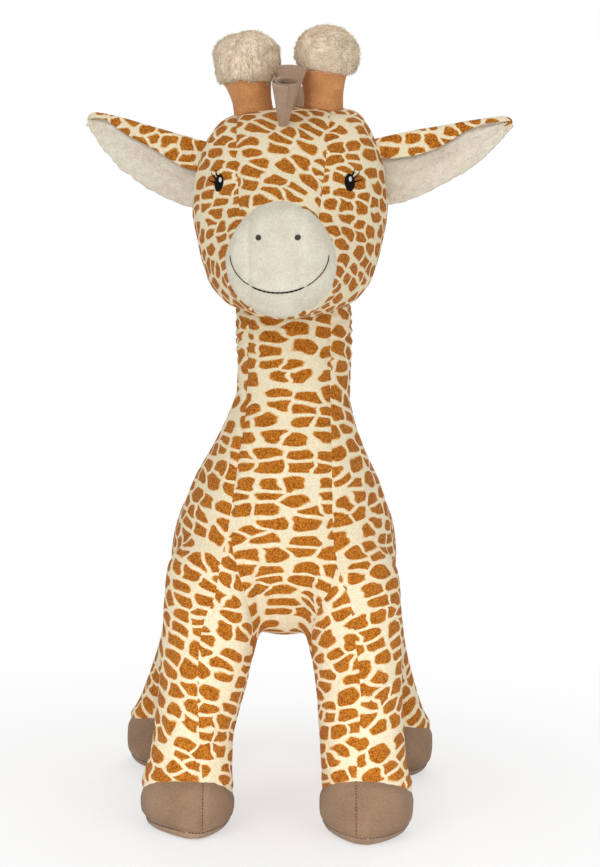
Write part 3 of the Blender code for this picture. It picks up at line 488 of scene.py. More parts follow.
def draw_in_seams(bm, depth, reach, only=None):
    """Sinks the cloth along the seams, unevenly, as the thread pulls it in."""
    panel = bm.faces.layers.int["panel"]
    seam_verts = set()
    for edge in bm.edges:
        beside = sorted({face[panel] for face in edge.link_faces})
        if len(beside) > 1 and (only is None or only(*beside[:2])):
            seam_verts.update(edge.verts)
    tree = KDTree(len(seam_verts))
    for index, vert in enumerate(seam_verts):
        tree.insert(vert.co, index)
    tree.balance()
    bm.normal_update()
    moves = []
    for vert in bm.verts:
        distance = tree.find(vert.co)[2]
        pull = 1 + SEAM_UNEVEN * (noise.noise(vert.co * 90) + noise.noise(vert.co * 35))
        moves.append(vert.normal * (depth * pull * math.exp(-((distance / reach) ** 2))))
    for vert, move in zip(bm.verts, moves):
        vert.co -= move


draw_in_seams(body, BODY_SEAM_DEPTH, BODY_SEAM_REACH)

# The head rests on the neck, and gathers the cloth under the chin into small folds.
FOLD_HEIGHT = 0.0105
FOLD_DEPTH = 0.0013
FOLD_WAVER, FOLD_DROP = 0.011, 0.05
FOLDS_START, FOLDS_FULL, FOLDS_END = 0.430, 0.470, 0.53
FOLDS_BACK, FOLDS_FRONT = 0.03, -0.06
for vert in body.verts:
    held = ease(FOLDS_START, FOLDS_FULL, vert.co.z) * ease(FOLDS_BACK, FOLDS_FRONT, vert.co.y)
    held *= vert.co.z < FOLDS_END
    if held:
        level = vert.co.z + FOLD_WAVER * noise.noise(vert.co * 22) + FOLD_DROP * abs(vert.co.x)
        fold = math.sin(math.tau * level / FOLD_HEIGHT) * (0.6 + 0.8 * noise.noise(vert.co * 45))
        vert.co += vert.normal * FOLD_DEPTH * held * fold


# Plush, suede and thread
# The cloth is short-pile plush, printed with brown spots on cream. The hooves and the mane are
# brushed suede. The sewing thread has its strands side by side.


def shader(name, **values):
    """A material and its shader. The shader's own sockets take the values."""
    made = bpy.data.materials.new(name)
    made.use_nodes = True
    surface = made.node_tree.nodes["Principled BSDF"]
    for socket, value in values.items():
        surface.inputs[socket.replace("_", " ")].default_value = value
    return made, made.node_tree, surface


def add(tree, kind, inputs=None, **settings):
    node = tree.nodes.new(kind)
    for name, value in settings.items():
        setattr(node, name, value)
    for socket, value in (inputs or {}).items():
        if isinstance(value, bpy.types.NodeSocket):
            tree.links.new(value, node.inputs[socket])
        else:
            node.inputs[socket].default_value = value
    return node


def vector(tree, operation, *values):
    node = add(tree, "ShaderNodeVectorMath", dict(enumerate(values)), operation=operation)
    return node.outputs["Value" if operation in ("DOT_PRODUCT", "LENGTH") else "Vector"]


def number(tree, operation, *values):
    return add(tree, "ShaderNodeMath", dict(enumerate(values)), operation=operation).outputs[0]


def weighed(tree, first, weight, second, other_weight):
    """Two values added, each times its weight."""
    first = number(tree, "MULTIPLY", first, weight)
    return number(tree, "ADD", first, number(tree, "MULTIPLY", second, other_weight))


def between(tree, value, low, high, to_low=0.0, to_high=1.0):
    """The value passed smoothly from one range to another."""
    inputs = {"Value": value, "From Min": low, "From Max": high, "To Min": to_low, "To Max": to_high}
    return add(tree, "ShaderNodeMapRange", inputs, interpolation_type="SMOOTHSTEP").outputs["Result"]


def mixed(tree, share, first, second):
    inputs = {0: share, 6: first if isinstance(first, bpy.types.NodeSocket) else (*first, 1)}
    inputs[7] = second if isinstance(second, bpy.types.NodeSocket) else (*second, 1)
    return add(tree, "ShaderNodeMix", inputs, data_type="RGBA").outputs[2]


def grain(tree, place, scale, detail=2.0, output="Fac"):
    inputs = {"Vector": place, "Scale": scale, "Detail": detail}
    return add(tree, "ShaderNodeTexNoise", inputs).outputs[output]


def dress(tree, skin, colour, height, strength, distance):
    """Gives the shader its colour, and its fine relief as a bump."""
    tree.links.new(colour, skin.inputs["Base Color"])
    bump = add(tree, "ShaderNodeBump", {"Height": height, "Strength": strength, "Distance": distance})
    tree.links.new(bump.outputs["Normal"], skin.inputs["Normal"])


def node_group(name, inputs, outputs):
    """A node group that takes and gives these numbers, with the sockets of its two ends."""
    group = bpy.data.node_groups.new(name, "ShaderNodeTree")
    for side, sockets in (("INPUT", inputs), ("OUTPUT", outputs)):
        for socket in sockets:
            group.interface.new_socket(socket, in_out=side, socket_type="NodeSocketFloat")
    return group, group.nodes.new("NodeGroupInput").outputs, group.nodes.new("NodeGroupOutput").inputs


# Brushed cloth shows the broad strokes that a hand left in it, and its fine nap.
PILE_VALUES = ("Stroke Scale", "Stroke Range", "Nap Scale", "Nap Detail", "Nap Range")
pile, given, result = node_group("pile", PILE_VALUES, ("Stroked", "Nap"))
place = add(pile, "ShaderNodeTexCoord").outputs["Object"]
strokes = grain(pile, place, given["Stroke Scale"], 3.0)
nap = grain(pile, place, given["Nap Scale"], given["Nap Detail"])
for raw, value, name in ((strokes, "Stroke Range", "Stroked"), (nap, "Nap Range", "Nap")):
    low, high = (number(pile, side, 0.5, given[value]) for side in ("SUBTRACT", "ADD"))
    pile.links.new(between(pile, raw, low, high), result[name])


def brushed(tree, values):
    """The strokes and the nap of a cloth's pile, each from 0 to 1. The values are the scale and
    range of the strokes, and the scale, detail and range of the nap."""
    outputs = add(tree, "ShaderNodeGroup", dict(enumerate(values)), node_tree=pile).outputs
    return outputs["Stroked"], outputs["Nap"]


# The print: rounded spots of brown pile on cream pile, each with a soft orange edge. A spot
# is what lies well inside one cell of a pattern of points, and near enough to its point.
SPOT_ASPECT = 1.75
GAP_SHARE = 0.155
SPOT_REACH = 0.470
SPOT_ROUNDNESS = 2.7
SPOT_UNEVEN = 0.16
SPOT_FALL, SPOT_BLEND = 1.3, 0.12
FRAY = 0.032
HALO = 0.085
PRINT_PILE = (620, 0.14, 900, 2.0, 0.2)

printed, tree, skin = shader("print", Roughness=0.95, Sheen_Weight=0.06, Specular_IOR_Level=0.15)
flat_place = add(tree, "ShaderNodeUVMap", uv_map="print").outputs["UV"]
place = add(tree, "ShaderNodeTexCoord").outputs["Object"]
moved = flat_place
# Three noises move the pattern: where each is read, its scale and detail, and how far it moves
# the pattern across and up. The last frays the spots' edges in the pile.
for read_at, scale, detail, shift in (
    (flat_place, 0.8, 1.0, (0.6, 0.7, 0)),
    (flat_place, 2.0, 0.0, (0.24, 0.20, 0)),
    (place, 900, 1.0, (0.06, 0.11, 0)),
):
    stray = vector(tree, "SUBTRACT", grain(tree, read_at, scale, detail, "Color"), (0.5, 0.5, 0.5))
    moved = vector(tree, "ADD", moved, vector(tree, "MULTIPLY", stray, shift))
spots = {"Vector": moved, "Scale": 1.0, "Randomness": 0.70, "Exponent": SPOT_ROUNDNESS}
cells = {"voronoi_dimensions": "2D", "distance": "MINKOWSKI"}
nearest = add(tree, "ShaderNodeTexVoronoi", spots, feature="F1", **cells)
second = add(tree, "ShaderNodeTexVoronoi", spots, feature="F2", **cells)
across = vector(tree, "SUBTRACT", second.outputs["Position"], nearest.outputs["Position"])
middle = vector(tree, "ADD", second.outputs["Position"], nearest.outputs["Position"])
middle = vector(tree, "MULTIPLY", middle, (0.5, 0.5, 0))
inward = vector(tree, "DOT_PRODUCT", vector(tree, "SUBTRACT", middle, moved), across)
stretch = vector(tree, "LENGTH", vector(tree, "MULTIPLY", across, (1 / SPOT_ASPECT, 1, 0)))
edge = number(tree, "SUBTRACT", number(tree, "DIVIDE", inward, stretch), GAP_SHARE)
uneven = number(tree, "MULTIPLY", grain(tree, flat_place, 0.9, 0.0), SPOT_UNEVEN)
reach = number(tree, "SUBTRACT", SPOT_REACH - SPOT_UNEVEN / 2, nearest.outputs["Distance"])
reach = number(tree, "MULTIPLY", number(tree, "ADD", reach, uneven), SPOT_FALL)
edge = number(tree, "SMOOTH_MIN", edge, reach, SPOT_BLEND)
spot = between(tree, edge, -FRAY, FRAY)
halo = between(tree, edge, -HALO, 0.0)
speckle, nap = brushed(tree, PRINT_PILE)
brown = mixed(tree, speckle, (0.275, 0.074, 0.004), (0.62, 0.220, 0.020))
cream = mixed(tree, speckle, (0.82, 0.705, 0.475), (0.915, 0.825, 0.615))
ground = mixed(tree, halo, cream, (0.78, 0.42, 0.11))
dress(tree, skin, mixed(tree, spot, ground, brown), weighed(tree, nap, 0.4, speckle, 0.8), 0.6, 0.0012)


SUEDE_PILE = (28, 0.25, 1000, 2.0, 0.2)


def suede_of(name, dark, light):
    """Brushed suede: a fine nap, darker where it has been stroked the other way."""
    made, tree, skin = shader(name, Roughness=0.95, Sheen_Weight=0.1, Specular_IOR_Level=0.12)
    stroked, nap = brushed(tree, SUEDE_PILE)
    share = weighed(tree, stroked, 0.45, nap, 0.55)
    dress(tree, skin, mixed(tree, share, dark, light), nap, 0.35, 0.0007)
    return made


hoof_suede = suede_of("suede", (0.200, 0.121, 0.070), (0.352, 0.231, 0.148))
sole_suede = suede_of("sole", (0.262, 0.168, 0.105), (0.393, 0.268, 0.183))

THREAD_SCALE = 950
strands, given, result = node_group("strands", ("Scale",), ("Strand",))
place = add(strands, "ShaderNodeTexCoord").outputs["Object"]
wave = {"Vector": place, "Scale": given["Scale"], "Distortion": 1.0, "Detail": 1.0}
wave = add(strands, "ShaderNodeTexWave", wave, bands_direction="Z")
strands.links.new(wave.outputs["Fac"], result["Strand"])


def thread(name, dark, light, gloss):
    """Sewing thread, with its strands side by side."""
    made, tree, skin = shader(name, Roughness=0.55, Specular_IOR_Level=gloss)
    strand = add(tree, "ShaderNodeGroup", {0: THREAD_SCALE}, node_tree=strands).outputs["Strand"]
    dress(tree, skin, mixed(tree, strand, dark, light), strand, 0.5, 0.0004)
    return made


dark_thread = thread("dark_thread", (0.030, 0.017, 0.010), (0.085, 0.050, 0.030), 0.1)


# Hoof stitches
# The suede of each hoof is closed by a seam down its front, and its sole is sewn on all round.
# Both show their stitches of dark thread.

STITCH_STEP = 0.0033
STITCH_HALVES = (0.00060, 0.00145)
STITCH_SINK = 0.0001
SOLE_RING = 0.06
RING_STEPS = 720
SEAM_STEP = 0.0004
SEAM_END = 0.075
AHEAD = Vector((0, -0.4, 0))


def stitched(bm, points, normals):
    """A short stitch of thread on the cloth at every step along these points."""
    travelled = 0.0
    for k in range(1, len(points)):
        way = points[k] - points[k - 1]
        travelled += way.length
        if travelled < STITCH_STEP or not way.length:
            continue
        travelled -= STITCH_STEP
        wide, long = STITCH_HALVES
        way.normalize()
        across = way.cross(normals[k]).normalized()
        turn = Matrix((across * wide, way * long, normals[k] * wide)).transposed().to_4x4()
        place = Matrix.Translation(points[k] - normals[k] * STITCH_SINK) @ turn
        bmesh.ops.create_uvsphere(bm, u_segments=6, v_segments=5, radius=1, matrix=place)


surface = BVHTree.FromBMesh(body)
for leg in LEGS:
    side = 1 if "left" in leg else -1
    bm = bmesh.new()
    if "front" in leg:
        seam = SEAM_LEFT if side > 0 else SEAM_RIGHT
        hits = []
        height = SOLE_TOP
        while height < SEAM_END:
            start = Vector((at(seam, height), 0, height)) + AHEAD
            point, normal, _, _ = surface.ray_cast(start, -AHEAD.normalized())
            if point.z > hoof_line(point):
                break
            hits.append((point, normal))
            height += SEAM_STEP
        stitched(bm, *zip(*hits))
    middle = middle_of(point for node in hoof_nodes[leg] for point in points_of(node))
    hits = []
    for step in range(RING_STEPS + 1):
        angle = math.tau * step / RING_STEPS
        out = Vector((math.sin(angle), -math.cos(angle), 0))
        start = Vector((middle.x, middle.y, SOLE_TOP)) + out * 2 * SOLE_RING
        point, normal, _, _ = surface.ray_cast(start, -out)
        hits.append((point, normal))
    stitched(bm, *zip(*hits))
    stitches = piece(f"hoof_stitches_{leg}", bm, dark_thread)
    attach(stitches, f"leg_{leg}")


# Body pieces
# The one bag of cloth is shared out here between the pieces that meet at the joints. Neighbours
# keep the same border points and normals, so that no line shows where they meet.

NECK_CUT = 0.480
NECK_FOOT, NECK_BACK = 0.36, 0.05
LEG_CUT = 0.200
LEG_INSIDE = 0.022
REAR_START = 0.02
BODY_FINISHES = (printed, hoof_suede, sole_suede)
FINISH_OF = {HOOF: 1, HOOF_INSIDE: 1, SOLE: 2}


def shared_out(bm, part_of):
    """One mesh for each part, with the whole mesh's own normals kept at the borders."""
    whole = piece("whole", bm, *BODY_FINISHES)
    normals = [tuple(corner.vector) for corner in whole.data.corner_normals]
    faces = {}
    for polygon in whole.data.polygons:
        faces.setdefault(part_of(polygon.center), []).append(polygon.index)
    panel = [value.value for value in whole.data.attributes["panel"].data]
    parts = {}
    for part, indices in faces.items():
        wanted = set(indices)
        bm = bmesh.new()
        bm.from_mesh(whole.data)
        bm.faces.ensure_lookup_table()
        unwanted = [face for face in bm.faces if face.index not in wanted]
        bmesh.ops.delete(bm, geom=unwanted, context="FACES")
        made = piece(part, bm, *BODY_FINISHES)
        kept = [loop for index in indices for loop in whole.data.polygons[index].loop_indices]
        for polygon, index in zip(made.data.polygons, indices):
            polygon.material_index = FINISH_OF.get(panel[index], 0)
        made.data.normals_split_custom_set([normals[loop] for loop in kept])
        parts[part] = made
    bpy.data.meshes.remove(whole.data)
    return parts


def body_part(co):
    if co.z < LEG_CUT:
        side = "left" if co.x > 0 else "right"
        pair = "front" if co.y < REAR_START else "rear"
        if abs(co.x) > LEG_INSIDE:
            return f"leg_cloth_{pair}_{side}"
    if co.z > NECK_CUT:
        return "neck_cloth_upper"
    if co.z > NECK_FOOT and co.y < NECK_BACK:
        return "neck_cloth_lower"
    return "trunk_cloth"


body_parts = shared_out(body, body_part)
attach(body_parts["trunk_cloth"], "torso")
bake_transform(body_parts["neck_cloth_lower"])
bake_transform(body_parts["neck_cloth_upper"])
for leg in LEGS:
    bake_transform(body_parts[f"leg_cloth_{leg}"])
    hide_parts(*leg_nodes[leg], *hoof_nodes[leg])
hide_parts(*trunk_nodes)
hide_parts(*neck_nodes)


# Head
# The head is a stuffed bag of its own: two side panels, a forehead panel between seams that
# run from the muzzle over the crown, and a round muzzle of plain cream plush at the front.
# It is worked on unturned, then turned on the neck as the real head sits.

HEAD_VOXEL = 0.004
HEAD_SMOOTHING = 8
HEAD_PUFF = 0.0022
MUZZLE_SEAM_Y = -0.1735
CROWN_HEIGHT = 0.6975
HORN_SEATS = ((0.0335, 0.0), (-0.0335, -0.002))
HORN_SEAT_Y = -0.047
HORN_SEAT_REACH, HORN_SEAT_DEPTH = 0.031, 0.018
FOREHEAD, CHEEK_LEFT, CHEEK_RIGHT = 12, 13, 14
MUZZLE_STRIPS = (11, 21, 31)
# Squarer at the crown and slimmer at the jaw: middle, reach, move.
HEAD_PUSHES = (
    ((0.056, -0.05, 0.688), (0.032, 0.07, 0.024), (0.0080, 0, 0.0045)),
    ((-0.058, -0.05, 0.686), (0.032, 0.07, 0.024), (-0.0040, 0, 0.0025)),
    ((0.090, -0.07, 0.560), (0.035, 0.09, 0.030), (-0.0045, 0, 0)),
    ((-0.090, -0.07, 0.560), (0.035, 0.09, 0.030), (0.0045, 0, 0)),
)

head_pivot = Vector((0, -0.05, 0.5006))
head_turn = Matrix.Rotation(math.radians(-4.6), 4, "Z") @ Matrix.Rotation(math.radians(-2.5), 4, "Y")
onto_neck = Matrix.Translation(head_pivot) @ head_turn @ Matrix.Translation(-head_pivot)

head_nodes = ["head_filling", "head_panel_left", "head_panel_right", "forehead_gusset", "muzzle"]
head = copy_of(head_nodes)
head.transform(onto_neck.inverted())
seat_size = Matrix.Diagonal((HORN_SEAT_REACH, HORN_SEAT_REACH, HORN_SEAT_DEPTH, 1))
for x, lift in HORN_SEATS:
    seat = Matrix.Translation((x, HORN_SEAT_Y, CROWN_HEIGHT - HORN_SEAT_DEPTH + lift)) @ seat_size
    bmesh.ops.create_uvsphere(head, u_segments=24, v_segments=12, radius=1, matrix=seat)
head = wrapped(head, HEAD_VOXEL, HEAD_SMOOTHING)
pushed(head, HEAD_PUSHES)
head = stuffed(head, STUFFING_PRESSURE, STUFFING_TRAVEL)
head.normal_update()
for vert in head.verts:
    vert.co += vert.normal * HEAD_PUFF

# Each row is a height and how far to the side the forehead's seams lie there.
FOREHEAD_LEFT = ((0.60, 0.036), (0.62, 0.038), (0.66, 0.0400), (0.69, 0.0410))
FOREHEAD_RIGHT = ((0.60, -0.040), (0.63, -0.0427), (0.66, -0.0470), (0.69, -0.0490))
FOREHEAD_LOW = 0.60
CROWN_HALF = 0.020
CROWN_TURN = (-0.04, 0.06)
MUZZLE_SEAMS = (-0.0280, 0.0217)
MUZZLE_BACK = -0.14


def forehead_seam(side, co):
    front = at(FOREHEAD_LEFT if side > 0 else FOREHEAD_RIGHT, co.z)
    return front + (side * CROWN_HALF - front) * ease(*CROWN_TURN, co.y)


def ahead_of_seam(co):
    return co.y < MUZZLE_SEAM_Y


def on_forehead(co):
    return co.z > FOREHEAD_LOW and not ahead_of_seam(co)


def on_jaw(co):
    return co.z < FOREHEAD_LOW and not ahead_of_seam(co)


cut_along(head, Y, lambda co: MUZZLE_SEAM_Y, lambda co: co.y < MUZZLE_BACK)
for side in (-1, 1):
    cut_along(head, X, lambda co: forehead_seam(side, co), on_forehead)
cut_along(head, X, lambda co: 0, on_jaw)
for x in MUZZLE_SEAMS:
    cut_along(head, X, lambda co: x, ahead_of_seam)


def head_panel_at(co):
    side = 1 if co.x > 0 else -1
    if ahead_of_seam(co):
        return MUZZLE_STRIPS[sum(co.x > x for x in MUZZLE_SEAMS)]
    if co.z > FOREHEAD_LOW and abs(co.x) < abs(forehead_seam(side, co)):
        return FOREHEAD
    return CHEEK_LEFT if side > 0 else CHEEK_RIGHT


HEAD_CELLS = {
    FOREHEAD: (0.0250, 0.0143, -14),
    CHEEK_LEFT: (0.0215, 0.0143, 10),
    CHEEK_RIGHT: (0.0215, 0.0143, -10),
    **dict.fromkeys(MUZZLE_STRIPS, PLAIN),
}
mark_panels(head, head_panel_at)
head = unwrapped(head)
lay_print(head, HEAD_CELLS)
head = with_modifier(head, "SUBSURF", levels=1, render_levels=1)


HEAD_SEAM_DEPTH, HEAD_SEAM_REACH = 0.0016, 0.0040
STRIP_SEAM_DEPTH, STRIP_SEAM_REACH = 0.0014, 0.0026


def within_muzzle(*panels):
    return all(panel in MUZZLE_STRIPS for panel in panels)


draw_in_seams(head, HEAD_SEAM_DEPTH, HEAD_SEAM_REACH, lambda *panels: not within_muzzle(*panels))
draw_in_seams(head, STRIP_SEAM_DEPTH, STRIP_SEAM_REACH, within_muzzle)

# Short cream plush for the muzzle, clipped close, with a soft sheen.
MUZZLE_PILE = (45, 0.2, 500, 2.0, 0.2)
muzzle_plush, tree, skin = shader("muzzle", Roughness=0.95, Sheen_Weight=0.1, Specular_IOR_Level=0.15)
stroked, nap = brushed(tree, MUZZLE_PILE)
tone = mixed(tree, stroked, (0.680, 0.640, 0.520), (0.765, 0.735, 0.620))
deep = mixed(tree, stroked, (0.600, 0.555, 0.435), (0.680, 0.640, 0.520))
dress(tree, skin, mixed(tree, nap, deep, tone), weighed(tree, nap, 0.4, stroked, 0.6), 0.5, 0.0012)

panel = head.faces.layers.int["panel"]
for face in head.faces:
    face.material_index = int(face[panel] in MUZZLE_STRIPS)
head_surface = BVHTree.FromBMesh(head)
head.transform(onto_neck)
head_cloth = piece("head_cloth", head, printed, muzzle_plush)
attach(head_cloth, "head")
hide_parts(*head_nodes)


# Face
# Eyes, lashes, nostrils and smile are satin stitch: black, white and grey thread laid side by
# side through the cloth, so each shape stands a little proud of the pile.

MUZZLE_MIDDLE_Z = 0.5644
EYE_SPREAD = 0.0622
EYE_HEIGHT = 0.6353
EYE_HALVES = (0.0046, 0.0083)
EYE_TILT = math.radians(9)
THREAD_RISE = 0.0011
CORD_RISE = 0.0004
SHINE_RISE = 0.0017
SHINE_HALVES = (0.0017, 0.0028)
SHINE_LIFT = 0.0026
SHINE_SHIFTS = {"left": 0.0, "right": 0.0016}
NOSTRIL_PLACE = (0.0183, MUZZLE_MIDDLE_Z + 0.0247)
NOSTRIL_HALVES = (0.0028, 0.0027)
NOSTRIL_RISE = 0.0008

black_thread = thread("black_thread", (0.004, 0.004, 0.004), (0.010, 0.009, 0.010), 0.06)
white_thread = thread("white_thread", (0.62, 0.60, 0.68), (0.86, 0.85, 0.90), 0.3)
grey_thread = thread("grey_thread", (0.035, 0.032, 0.030), (0.085, 0.078, 0.072), 0.2)


def on_head(x, z, rise=0.0):
    """The place on the front of the head at this x and z, raised off the cloth."""
    point, normal, _, _ = head_surface.ray_cast(Vector((x, 0, z)) + AHEAD, -AHEAD.normalized())
    return point + normal * rise


def stitched_oval(bm, middle, halves, tilt, rise):
    """A cushion of thread laid on the cloth."""
    shape = Matrix.Rotation(-tilt, 4, "Y") @ Matrix.Diagonal((halves[0], rise, halves[1], 1))
    oval = bmesh.ops.create_uvsphere(bm, u_segments=24, v_segments=16, radius=1, matrix=shape)
    for vert in oval["verts"]:
        vert.co = on_head(middle[0] + vert.co.x, middle[1] + vert.co.z, -vert.co.y)


def stitched_line(bm, points, radii):
    """A cord of thread along points (x, z) on the cloth."""
    places = [on_head(x, z, CORD_RISE) for x, z in points]
    steps = len(places) - 1
    cord = bmesh.new()
    bmesh.ops.create_cone(cord, cap_ends=True, segments=6, radius1=1, radius2=1, depth=steps)
    sides = [edge for edge in cord.edges if abs(edge.verts[0].co.z - edge.verts[1].co.z) > 0.5]
    bmesh.ops.subdivide_edges(cord, edges=sides, cuts=steps - 1, use_grid_fill=True)
    for vert in cord.verts:
        k = round(vert.co.z + steps / 2)
        along = (places[min(k + 1, steps)] - places[max(k - 1, 0)]).normalized()
        out = (Vector((0, -1, 0)) + along * along.y).normalized()
        vert.co = places[k] + (along.cross(out) * vert.co.x + out * vert.co.y) * radii[k]
    mesh = bpy.data.meshes.new("cord")
    cord.to_mesh(mesh)
    cord.free()
    bm.from_mesh(mesh)
    bpy.data.meshes.remove(mesh)


def face_piece(name, bm, finish, *nodes):
    """A piece of stitching that stands for these nodes and rides on the head."""
    bmesh.ops.recalc_face_normals(bm, faces=bm.faces)
    bm.transform(onto_neck)
    made = piece(name, bm, finish)
    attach(made, "head")
    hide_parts(*nodes)


LASH_STEPS, LASH_HALF, LASH_TAPER = 6, 0.00095, 0.7
# Each lash: angle up from the eye's outer side in degrees, how far it bows, and its length.
LASHES = ((60, 0.0010, 0.0056), (31, 0.0018, 0.0070), (2, 0.0018, 0.0070))
for side_name, side in (("left", 1), ("right", -1)):
    middle = (side * EYE_SPREAD, EYE_HEIGHT)
    bm = bmesh.new()
    stitched_oval(bm, middle, EYE_HALVES, side * EYE_TILT, THREAD_RISE)
    for degrees, bow, length in LASHES:
        angle = math.radians(degrees)
        out = Vector((side * math.cos(angle), math.sin(angle)))
        sideways = Vector((-out.y, out.x)) * side
        start = Vector(middle) + Vector((out.x * EYE_HALVES[0], out.y * EYE_HALVES[1])) * 0.9
        shares = [k / LASH_STEPS for k in range(LASH_STEPS + 1)]
        points = [start + out * length * share + sideways * bow * share**2 for share in shares]
        stitched_line(bm, points, [LASH_HALF * (1 - LASH_TAPER * share) for share in shares])
    face_piece(f"eye_{side_name}_thread", bm, black_thread, f"eye_{side_name}")
    bm = bmesh.new()
    shine = (middle[0] + SHINE_SHIFTS[side_name], middle[1] + SHINE_LIFT)
    stitched_oval(bm, shine, SHINE_HALVES, 0, SHINE_RISE)
    face_piece(f"eye_highlight_{side_name}_thread", bm, white_thread, f"eye_highlight_{side_name}")
    bm = bmesh.new()
    nostril = (side * NOSTRIL_PLACE[0], NOSTRIL_PLACE[1])
    stitched_oval(bm, nostril, NOSTRIL_HALVES, 0, NOSTRIL_RISE)
    face_piece(f"nostril_{side_name}_thread", bm, grey_thread, f"nostril_{side_name}")

SMILE_HALVES = (0.0462, 0.0352)
SMILE_MIDDLE_Z = MUZZLE_MIDDLE_Z + 0.0085
SMILE_STEPS = 24
# Each stroke: its start and end round the smile in degrees, and how thick its thread is.
SMILE = (("right", -88, -36, 0.00042), ("middle", -33, 31, 0.00078), ("left", 34, 88, 0.00048))
for side_name, start, end, thick in SMILE:
    points, radii = [], []
    for k in range(SMILE_STEPS + 1):
        angle = math.radians(start + (end - start) * k / SMILE_STEPS)
        stitch = thick * (1 + 0.16 * math.cos(k * math.pi))
        x, z = SMILE_HALVES[0] * math.sin(angle), SMILE_HALVES[1] * math.cos(angle)
        points.append((x, SMILE_MIDDLE_Z - z))
        radii.append(stitch * (0.45 if k in (0, SMILE_STEPS) else 1))
    bm = bmesh.new()
    stitched_line(bm, points, radii)
    face_piece(f"smile_{side_name}_thread", bm, black_thread, f"smile_{side_name}")


# Ears
# Each ear is a leaf of printed plush folded forward over its top edge, with a lining of pale
# fleece sewn inside it below the fold. The root is stitched into the head.

EAR_CLOTH = 0.0026
EAR_TURN = 0.0050
LINING_PILE = 0.0030
EAR_ALONG, EAR_ACROSS, LINING_ACROSS = 84, 60, 40
EAR_ROOT = 0.075
EAR_SLANT = 0.6
EAR_CELL = (0.0185, 0.0140)
EAR_CUTTING_STEP = 40
# Edges of each ear as seen from the front, from the root out: way out, height.
EARS = {
    "right": {
        "top": (
            (0.075, 0.6696), (0.0914, 0.6731), (0.1089, 0.6777), (0.138, 0.6850), (0.162, 0.6915),
            (0.1841, 0.6965), (0.2011, 0.6985),
        ),
        "low": (
            (0.075, 0.6055), (0.0925, 0.6070), (0.1059, 0.6096), (0.1246, 0.6169), (0.1443, 0.6262),
            (0.1693, 0.6423), (0.1891, 0.6626), (0.2037, 0.6801),
        ),
        "fold": (
            (0.075, 0.6400), (0.0991, 0.6439), (0.1094, 0.6475), (0.1383, 0.6645), (0.1623, 0.6758),
            (0.1801, 0.6873), (0.1958, 0.6969),
        ),
        "tip": 0.2060,
        "back": (0.439, -0.0961),
        "peek": 0.0002,
    },
    "left": {
        "top": (
            (0.075, 0.6710), (0.1012, 0.6767), (0.1223, 0.6808), (0.154, 0.6856), (0.1684, 0.6883),
            (0.1877, 0.6909), (0.205, 0.6931),
        ),
        "low": (
            (0.075, 0.6095), (0.0921, 0.6102), (0.1056, 0.6119), (0.1249, 0.6184), (0.1403, 0.6259),
            (0.1654, 0.6390), (0.1847, 0.6523), (0.1992, 0.6666), (0.2108, 0.6790),
        ),
        "fold": (
            (0.075, 0.6540), (0.101, 0.6536), (0.1222, 0.6562), (0.1395, 0.6617), (0.154, 0.6692),
            (0.1684, 0.6786), (0.1877, 0.6861), (0.2021, 0.6897),
        ),
        "tip": 0.2140,
        "back": (0.167, -0.0724),
        "peek": 0.0016,
    },
}
TIP_ROUND = 0.0110
TIP_BLUNT = 0.95
EAR_HOLLOW, EAR_DISH = 0.0105, 0.002
HOLLOW_END = (0.10, 0.215)
PEEK_FULL = 0.02
LINING_FULL = 0.03
FOLD_PRESS = 0.002
LINING_CREASE, LINING_LUMPS, LINING_TUCK = 0.0022, 0.0012, 0.0030
LINING_UNDER, LINING_CLEAR, LINING_NAP = 0.004, 0.0008, 0.0007


def ear_edges(ear, out):
    """The height of the top, the fold's edge and the low edge at this way out."""
    top, fold, low = (at(ear[edge], out) for edge in ("top", "fold", "low"))
    middle = (top + low) / 2
    past = TIP_BLUNT * max(out - (ear["tip"] - TIP_ROUND), 0) / TIP_ROUND
    close = math.sqrt(1 - past**2)
    return [middle + (height - middle) * close for height in (top, fold, low)]


def ear_cup(ear, out, height):
    """How far back the leaf stands at this place: hollow along its middle."""
    top, _, low = ear_edges(ear, out)
    slope, start = ear["back"]
    share = (height - low) / max(top - low, 0.0005)
    hollow = EAR_HOLLOW * (1 - ease(*HOLLOW_END, out)) + EAR_DISH
    return out * slope + start + hollow * (1 - (2 * share - 1) ** 2)


def ear_turn(top, low):
    """How wide the cloth turns over the top edge: less towards the tip."""
    return min(EAR_TURN, (top - low) * 0.3)


def ear_sheet(ear, rows, place_of):
    """A flat grid of cloth laid in place: along the ear, and across it."""
    bm = bmesh.new()
    bmesh.ops.create_grid(bm, x_segments=EAR_ALONG, y_segments=rows, size=0.5)
    for vert in bm.verts:
        along = math.sin((vert.co.x + 0.5) * math.pi / 2)
        vert.co = place_of(EAR_ROOT + (ear["tip"] - EAR_ROOT) * along, vert.co.y + 0.5)
    return bm


def printed_place(ear, out, share):
    """Across the printed cloth: up the back from the low edge, over the top, down to the fold."""
    top, fold, low = ear_edges(ear, out)
    turn = ear_turn(top, low)
    low -= ear["peek"] * min((top - low) / PEEK_FULL, 1)
    behind, over, down = top - turn - low, math.pi * turn, max(top - turn - fold, 0)
    way = share * (behind + over + down)
    if way < behind:
        height = low + way
        return Vector((out, ear_cup(ear, out, height), height))
    base = ear_cup(ear, out, top - turn)
    if way < behind + over:
        angle = (way - behind) / turn
        return Vector((out, base - turn * (1 - math.cos(angle)), top - turn + turn * math.sin(angle)))
    height = top - turn - (way - behind - over)
    return Vector((out, min(base, ear_cup(ear, out, height) + FOLD_PRESS) - 2 * turn, height))


